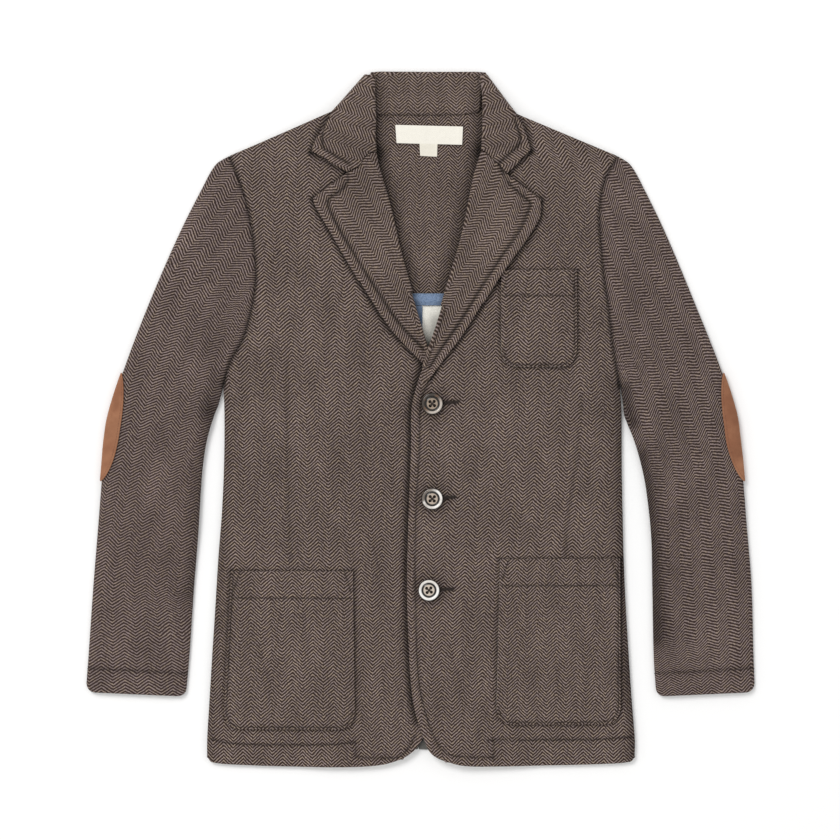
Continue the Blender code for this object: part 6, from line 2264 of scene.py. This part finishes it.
@dataclass
class Collar:
    """The collar: two wings that fold over the shoulders, the fall at the back, and the stand."""

    wardrobe: Wardrobe
    sewing: Sewing
    top: float = 585.0
    stand_foot_rise: float = -0.7
    stand_climb_from: float = 567.0
    stand_climb: float = 14.0
    seam_lift: float = 0.3
    tightest_fold: float = 0.12
    taper_length: float = 17.0
    inset_reach: float = 20.0
    turned_back: float = 7.0
    wing_angle: dict[Side, float] = field(default_factory=lambda: {Side.RIGHT: 73.0,
                                                                   Side.LEFT: -73.0})

    def wing(self, side: Side) -> bpy.types.Mesh:
        """Mesh of one wing, with its roll along the neck and its fold over the shoulder."""
        low = gorge_and_edge(side, WING_POINT[side]) + np.array([0.0, 0.6])
        corner, shoulder = COLLAR_CORNER[side], COLLAR_SHOULDER[side]
        top_inner = WING_INNER[side][-1]
        inner = joined(smooth((Spot(*low[0]),) + WING_INNER[side][1:]),
                       smooth((top_inner, Spot((top_inner.x + corner.x) / 2, top_inner.y - 0.6), corner)))
        outer = smooth((Spot(*low[-1]),) + WING_OUTER[side][1:])
        stitches = joined(smooth(WING_STITCHES[side][:3]), smooth(WING_STITCHES[side][2:]))
        grain = Grain((GrainRow(0.0, 0.0, PAIR),), angle=self.wing_angle[side], pivot=Spot(0.0, 540.0))
        free_edge = joined(low[-2:], outer)
        marks = (groove(stitches, 0.95, 1.5), ridge(offset_line(free_edge, side.value * 3.4), 0.45, 2.4))
        panel = Panel("collar_wing", low, straight(corner, shoulder), inner, outer,
                      LAYERS.wing(side), LAYERS.collar_cloth, grain, Relief(marks),
                      step=1.7, row_step=1.7, side_steps=(ROLL_STEPS, EDGE_STEPS),
                      end_steps=(EDGE_STEPS, FOLD_STEPS))
        self.sewing.on_panel(panel, stitches)
        half = LAYERS.collar_cloth / 2
        plan = panel.plan()
        roll_radius = (LAYERS.collar_cloth + LAYERS.gap) / 2
        run = unit(np.array(corner) - np.array(shoulder))
        inward = np.array([-run[1], run[0]])
        inward = inward * np.sign(float(inward @ (plan[0, 0] - np.array(corner))))
        along = (plan - np.array(shoulder)) @ run
        from_fold = np.clip((plan - np.array(shoulder)) @ inward, 0.0, None)
        taper = self.tightest_fold + (1 - self.tightest_fold) * ease(along[-1] / self.taper_length)
        level = LAYERS.wing(side)(plan[-1, :, 0], plan[-1, :, 1])
        radius = level / 2 * taper
        order = np.argsort(along[-1])
        inset = np.interp(along, along[-1][order], (radius + half)[order])
        nearness = 1 - np.clip(from_fold / self.inset_reach, 0.0, 1.0)
        plan += inward * (inset * nearness**2)[..., None]
        plan[0] += unit(plan[1] - plan[0]) * half
        plan[:, 0] += unit(plan[:, 1] - plan[:, 0]) * (roll_radius + half)
        plan[:, -1] += unit(plan[:, -2] - plan[:, -1]) * half
        x, y = plan[..., 0], plan[..., 1]
        middle = np.dstack([x, y, LAYERS.wing(side)(x, y) + half])
        cloth_map = grain.map(x, y)
        # Relief, and its painted shade in the grooves with painted light on the ridges.
        faces = np.dstack([panel.relief.rise(x, y), panel.relief.hollow(x, y)])
        radius = np.minimum(radius, (middle[-1, :, 2] - half) / 2)
        middle, cloth_map = self.fold_under(middle, cloth_map, grain, -inward, radius,
                                            self.turned_back * taper)
        faces = np.concatenate([faces, np.zeros((len(middle) - len(faces), *faces.shape[1:]))])
        if grid_normals(middle)[:len(plan), :, 2].mean() < 0:
            middle, cloth_map, faces = middle[::-1], cloth_map[::-1], faces[::-1]
        middle, cloth_map, added = curled(middle, cloth_map, np.full(len(middle), roll_radius))
        faces = np.concatenate([np.zeros((len(faces), added, 2)), faces], axis=1)
        return cloth_shell("collar_wing", middle, LAYERS.collar_cloth, cloth_map, faces[..., 0],
                           False, faces[..., 1])

    def fold_under(self, middle: Array, cloth_map: Array, grain: Grain, out: Array, radius: Array,
                   leg: Array) -> tuple[Array, Array]:
        """Carries a wing round its shoulder fold, along the last row, and back under itself.

        Args:
            middle: middle surface of the wing.
            cloth_map: its cloth coordinates.
            grain: its weave, which runs on round the fold.
            out: plan direction that the fold faces.
            radius: radius of the fold at each column.
            leg: how far the cloth runs back under itself at each column.

        Returns:
            The longer surface and its cloth coordinates.
        """
        start = middle[-1]
        bends = [(radius * math.sin(a), radius * (1 - math.cos(a)), radius * a)
                 for a in np.linspace(0.0, math.pi, 10)[1:]]
        bends += [(-leg * share, 2 * radius, math.pi * radius + leg * share) for share in (0.5, 1.0)]
        rows, maps = [], []
        for reach, drop, run in bends:
            rows.append(np.column_stack([start[:, :2] + out * reach[:, None], start[:, 2] - drop]))
            unrolled = start[:, :2] + out * run[:, None]
            maps.append(grain.map(unrolled[:, 0], unrolled[:, 1]))
        return np.concatenate([middle, rows]), np.concatenate([cloth_map, maps])

    def fall(self) -> bpy.types.Mesh:
        """Mesh of the fall, which lies on the floor under the back, and rolls up to the stand."""
        radius = (LAYERS.collar_cloth + LAYERS.gap) / 2
        corners = [Spot(WING_INNER[side][-1].x - side.value * 0.6, self.top - 0.7) for side in Side]
        ends = [Spot(COLLAR_SHOULDER[side].x - side.value * 6.5, COLLAR_SHOULDER[side].y)
                for side in Side]
        low = smooth((corners[0], Spot(corners[0].x + 9.0, self.top), Spot(corners[1].x - 9.0, self.top),
                      corners[1]))
        high = smooth((ends[0],) + FALL_EDGE[1:-1] + (ends[1],))
        panel = Panel("collar_fall", straight(corners[0], ends[0]), straight(corners[1], ends[1]), low,
                      high, lambda x, y: np.zeros(np.shape(x)), LAYERS.collar_cloth, BACK_GRAIN,
                      step=3.0, row_step=3.0, side_steps=(ROLL_STEPS, EDGE_STEPS))
        plan = panel.plan()
        half = LAYERS.collar_cloth / 2
        plan[:, 0] += unit(plan[:, 1] - plan[:, 0]) * (radius + half)
        plan[:, -1] += unit(plan[:, -2] - plan[:, -1]) * half
        x, y = plan[..., 0], plan[..., 1]
        middle = np.dstack([x, y, np.full(x.shape, half - 0.03)])
        cloth_map = BACK_GRAIN.map(x, y)
        if grid_normals(middle)[..., 2].mean() > 0:
            middle, cloth_map = middle[::-1], cloth_map[::-1]
        middle, cloth_map, _ = curled(middle, cloth_map, np.full(len(middle), radius))
        return cloth_shell("collar_fall", middle, LAYERS.collar_cloth, cloth_map, None, False)

    def stand(self) -> bpy.types.Mesh:
        """Mesh of the stand, inside the neck."""
        foot = smooth([Spot(p.x, p.y + self.stand_foot_rise) for p in NECK_LINE[1:-1]])
        corners = [Spot(STAND_MIDDLE + side.value * STAND_HALF_WIDTH, self.top - 2.4) for side in Side]
        soft = (
            crease(0.35, 9, (-20, 562), (8, 558), (32, 561)),
            crease(-0.5, 4, (-34, 552), (-33, 566), (-35, 580)),
            crease(-0.5, 4, (45, 552), (44, 566), (46, 580)),
        )
        panel = Panel("collar_stand", foot, straight(*corners), straight(foot[0], corners[0]),
                      straight(foot[-1], corners[1]), self.stand_height, LAYERS.collar_cloth,
                      Grain((GrainRow(0.0, 13.4, 16.0),), period=PAIR), Relief(soft),
                      Relief(self.stand_shade()), step=2.0, row_step=2.0)
        # The last of these is the stand's painted shade beside the wings and at the seam.
        middle, cloth_map, relief, hollow = panel.surface()
        cloth_map[..., 1] *= -1.0
        return cloth_shell("collar_stand", middle, LAYERS.collar_cloth, cloth_map, relief, False,
                           hollow)

    def stand_height(self, x: Array, y: Array) -> Array:
        """Height of the stand's underside, which climbs to the facing at the neck seam."""
        low = LAYERS.collar_cloth + LAYERS.gap + 0.02
        climb = ease((self.stand_climb_from - y) / self.stand_climb)
        return low + (LAYERS.on_back(x, y) + self.seam_lift - low) * climb

    def stand_shade(self) -> tuple[Mark, ...]:
        """Where the wings and the seam below shade the stand."""
        marks = [contact_shade(smooth(NECK_LINE), 0.12, 2.4)]
        marks += [contact_shade(smooth(WING_INNER[side][1:]), 0.55, 7.5) for side in Side]
        return tuple(marks)

    def build(self) -> None:
        """Joins the parts of the collar into one piece."""
        parts = [self.wing(side) for side in Side] + [self.fall(), self.stand()]
        joint = bmesh.new()
        for part in parts:
            joint.from_mesh(part)
        mesh = bpy.data.meshes.new("collar_cloth")
        joint.to_mesh(mesh)
        joint.free()
        for polygon in mesh.polygons:
            polygon.material_index = 0
            polygon.use_smooth = True
        piece = cloth_object("collar_cloth", mesh, [self.wardrobe.lapel.material])
        declare(piece, "herringbone_fleece", "collar")


class ButtonPlace(NamedTuple):
    """Middle of a button, the turn of its holes and the end of its buttonhole."""

    middle: Spot
    turn: float
    hole_end: Spot


BUTTONS = {
    "button_top": ButtonPlace(Spot(9.4, 306.0), 4.0, Spot(31.2, 307.6)),
    "button_middle": ButtonPlace(Spot(9.4, 226.3), -2.0, Spot(28.8, 227.8)),
    "button_bottom": ButtonPlace(Spot(6.7, 149.7), 6.0, Spot(27.0, 150.6)),
}
BUTTON_PROFILE = (
    (0.0, 0.0), (7.2, 0.0), (8.3, 0.5), (8.85, 1.2), (9.0, 1.8), (8.85, 2.4), (8.4, 2.85), (7.8, 3.0),
    (7.1, 2.9), (6.5, 2.5), (6.1, 1.95), (5.8, 1.7), (5.4, 1.7), (5.1, 1.95), (4.7, 2.15), (4.0, 2.2),
    (2.0, 2.05), (0.0, 2.0),
)


@dataclass
class Buttons:
    """Four-hole buttons with a raised rim, sewn with a cross of thread, and their buttonholes."""

    wardrobe: Wardrobe
    sewing: Sewing
    front: Panel
    hole_radius: float = 1.3
    hole_circle: float = 2.5
    steps: int = 64
    strand_radius: float = 0.58

    def turned(self) -> bpy.types.Mesh:
        """Mesh of a button about its own centre, with its holes cut."""
        angles = np.linspace(0.0, math.tau, self.steps, endpoint=False)
        shape = bmesh.new()
        rings = []
        for radius, height in BUTTON_PROFILE:
            if radius == 0.0:
                rings.append([shape.verts.new((0.0, 0.0, height * MM))])
            else:
                rings.append([shape.verts.new((radius * MM * math.cos(a), radius * MM * math.sin(a),
                                               height * MM)) for a in angles])
        for lower, upper in zip(rings, rings[1:]):
            for k in range(self.steps):
                m = (k + 1) % self.steps
                corners = [lower[k % len(lower)], lower[m % len(lower)],
                           upper[m % len(upper)], upper[k % len(upper)]]
                shape.faces.new(list(dict.fromkeys(corners)))
        bmesh.ops.recalc_face_normals(shape, faces=shape.faces)
        mesh = bpy.data.meshes.new("button_turned")
        shape.to_mesh(mesh)
        shape.free()
        return mesh

    def drilled(self) -> bpy.types.Mesh:
        """Turned button with four sewing holes."""
        blank = bpy.data.objects.new("button_blank", self.turned())
        pins_shape = bmesh.new()
        for k in range(4):
            angle = math.radians(45 + 90 * k)
            pin = bmesh.ops.create_cone(pins_shape, segments=20, radius1=self.hole_radius * MM,
                                        radius2=self.hole_radius * MM, depth=12 * MM, cap_ends=True)
            bmesh.ops.translate(pins_shape, verts=pin["verts"],
                                vec=Vector((math.cos(angle), math.sin(angle), 0.0))
                                * self.hole_circle * MM)
        pins_mesh = bpy.data.meshes.new("button_pins")
        pins_shape.to_mesh(pins_mesh)
        pins_shape.free()
        pins = bpy.data.objects.new("button_pins", pins_mesh)
        for part in (blank, pins):
            bpy.context.scene.collection.objects.link(part)
        cut = blank.modifiers.new("holes", "BOOLEAN")
        cut.operation, cut.solver, cut.object = "DIFFERENCE", "EXACT", pins
        bpy.context.view_layer.update()
        mesh = bpy.data.meshes.new_from_object(
            blank.evaluated_get(bpy.context.evaluated_depsgraph_get()))
        for part in (blank, pins):
            bpy.data.objects.remove(part)
        return mesh

    def thread_cross(self, height: float, turn: float, middle: Spot) -> list[Array]:
        """Two strands that cross between the holes, as 3-D lines."""
        lines = []
        for k in range(2):
            angle = math.radians(45 + turn + 90 * k)
            way = np.array([math.cos(angle), math.sin(angle)])
            t = np.linspace(-1.0, 1.0, 9)
            plan = np.array(middle) + np.outer(t * self.hole_circle, way)
            lift = height + 2.0 + 0.45 * (1 - t**2) + 0.12 * k
            lift[[0, -1]] -= 0.9
            lines.append(np.column_stack([plan, lift]))
        return lines

    def build(self) -> None:
        """Builds the three buttons, their thread and their buttonholes."""
        pattern = self.drilled()
        finishes = {"button_top": self.wardrobe.brown_horn, "button_middle": self.wardrobe.silver_horn,
                    "button_bottom": self.wardrobe.pale_horn}
        for name, place in BUTTONS.items():
            spot = np.array([[place.middle.x], [place.middle.y]])
            seat = float(self.front.top(spot[0], spot[1])[0]) + LAYERS.stack_gap
            points = np.empty(len(pattern.vertices) * 3)
            pattern.vertices.foreach_get("co", points)
            points = points.reshape(-1, 3)
            turn = math.radians(place.turn)
            rotation = np.array([[math.cos(turn), -math.sin(turn), 0.0],
                                 [math.sin(turn), math.cos(turn), 0.0], [0.0, 0.0, 1.0]])
            local = points @ rotation.T
            mesh = pattern.copy()
            world = local + to_world(np.array([place.middle.x, place.middle.y, seat]))
            mesh.vertices.foreach_set("co", world.ravel())
            layer = mesh.uv_layers.new(name="Cloth") if not mesh.uv_layers else mesh.uv_layers[0]
            corners = np.empty(len(mesh.loops), dtype=np.int32)
            mesh.loops.foreach_get("vertex_index", corners)
            layer.name = "Cloth"
            layer.data.foreach_set("uv", local[corners, :2].ravel())
            mesh.polygons.foreach_set("use_smooth", np.ones(len(mesh.polygons), dtype=bool))
            mesh.update()
            mesh.materials.clear()
            piece = cloth_object(name + "_turned", mesh, [finishes[name].material])
            declare(piece, "brown_horn" if name == "button_top" else "silver_horn", name)
            strands = self.thread_cross(seat, place.turn, place.middle)
            cross = tube_piece(name + "_thread", strands, self.strand_radius,
                               self.wardrobe.dark_thread.material)
            declare(cross, "herringbone_fleece")
            self.buttonhole(place)

    def buttonhole(self, place: ButtonPlace) -> None:
        """Lays the close stitches round a buttonhole, from under its button to its end."""
        start, end = Spot(place.middle.x + 6.0, place.middle.y + 0.4), place.hole_end
        line = resampled(straight(start, end), 0.8)
        for offset in (-0.5, 0.5):
            row = offset_line(line, offset)
            height = self.front.top(row[:, 0], row[:, 1]) + 0.05
            self.sewing.hole.append(np.column_stack([row, height]))


def tube_piece(name: str, lines: Sequence[Array], radius: float, material: bpy.types.Material
               ) -> bpy.types.Object:
    """Round strands along 3-D lines, as one piece.

    Args:
        name: name of the piece.
        lines: polylines in garment millimetres.
        radius: radius of a strand.
        material: its finish.

    Returns:
        The piece.
    """
    points, faces = [], []
    sides = 8
    for line in lines:
        run = unit(np.gradient(line, axis=0))
        across = unit(np.cross(run, np.array([0.0, 0.0, 1.0])))
        up = np.cross(across, run)
        first = len(points)
        for centre, a, b in zip(line, across, up):
            for k in range(sides):
                angle = math.tau * k / sides
                points.append(centre + radius * (math.cos(angle) * a + math.sin(angle) * b))
        for row in range(len(line) - 1):
            for k in range(sides):
                m = (k + 1) % sides
                base = first + row * sides
                faces.append((base + k, base + m, base + sides + m, base + sides + k))
        last = first + (len(line) - 1) * sides
        faces.append(tuple(first + k for k in reversed(range(sides))))
        faces.append(tuple(last + k for k in range(sides)))
    mesh = bpy.data.meshes.new(name)
    mesh.from_pydata(to_world(np.array(points)).tolist(), [], faces)
    shape = bmesh.new()
    shape.from_mesh(mesh)
    bmesh.ops.recalc_face_normals(shape, faces=shape.faces)
    shape.to_mesh(mesh)
    shape.free()
    mesh.polygons.foreach_set("use_smooth", np.ones(len(mesh.polygons), dtype=bool))
    return cloth_object(name, mesh, [material])


# -------------------------------------------------------------------------------------------- studio

@dataclass
class Studio:
    """Pale floor, soft lights and the camera straight above the garment."""

    floor_size: float = 6.0
    floor_height: float = -0.0002
    room_light: float = 0.80
    key_place: tuple[float, float, float] = (-2.0, 2.4, 3.3)
    key_size: float = 1.8
    key_power: float = 101.0
    camera_height: float = 1.965
    lens: float = 100.0
    centre: Spot = Spot(-0.00044, -0.00018)

    def floor(self) -> None:
        """Lays the floor just under the garment."""
        half, z = self.floor_size / 2, self.floor_height
        mesh = bpy.data.meshes.new("studio_floor")
        mesh.from_pydata([(-half, -half, z), (half, -half, z), (half, half, z), (-half, half, z)], [],
                         [(0, 1, 2, 3)])
        piece = cloth_object("studio_floor", mesh, [PaperFinish().material])

    def light(self, name: str, place: tuple[float, float, float], size: float, power: float) -> None:
        """Adds a square soft light aimed at the garment."""
        lamp = bpy.data.lights.new(name, "AREA")
        lamp.shape = "SQUARE"
        lamp.size = size
        lamp.energy = power
        lamp.color = (1.0, 0.99, 0.975)
        holder = bpy.data.objects.new(name, lamp)
        holder.location = place
        holder.rotation_euler = (-Vector(place)).to_track_quat("-Z", "Y").to_euler()
        bpy.context.scene.collection.objects.link(holder)

    def camera(self) -> None:
        """Sets the camera straight above."""
        data = bpy.data.cameras.new("camera_above")
        data.lens = self.lens
        data.sensor_width = 36.0
        data.clip_end = 20.0
        holder = bpy.data.objects.new("camera_above", data)
        holder.location = (self.centre.x, self.centre.y, self.camera_height)
        bpy.context.scene.collection.objects.link(holder)
        bpy.context.scene.camera = holder

    def build(self) -> None:
        """Sets the whole studio."""
        self.floor()
        self.camera()
        world = bpy.data.worlds.new("soft_room")
        world.use_nodes = True
        back = world.node_tree.nodes["Background"]
        back.inputs["Color"].default_value = (1.0, 1.0, 1.0, 1.0)
        back.inputs["Strength"].default_value = self.room_light
        bpy.context.scene.world = world
        self.light("soft_key", self.key_place, self.key_size, self.key_power)
        bpy.context.scene.view_settings.view_transform = "Standard"


def main() -> None:
    """Builds the garment and the studio round it."""
    logging.basicConfig(level=logging.INFO, format="%(name)s: %(message)s")
    wardrobe = Wardrobe.make()
    sewing = Sewing(StitchTree())
    Backs(wardrobe).build()
    NeckInside(wardrobe, sewing).build()
    fronts = Fronts(wardrobe, sewing)
    fronts.build()
    Lapels(wardrobe, sewing).build()
    Pockets(wardrobe, sewing).build()
    for side in Side:
        sleeve = Sleeve(side, wardrobe, sewing)
        sleeve.build()
        ElbowPatch(sleeve, wardrobe, sewing).build()
    Collar(wardrobe, sewing).build()
    Buttons(wardrobe, sewing, fronts.panels[Side.LEFT]).build()
    sewing.finish(wardrobe)
    Studio().build()


if __name__ == "__main__":
    main()
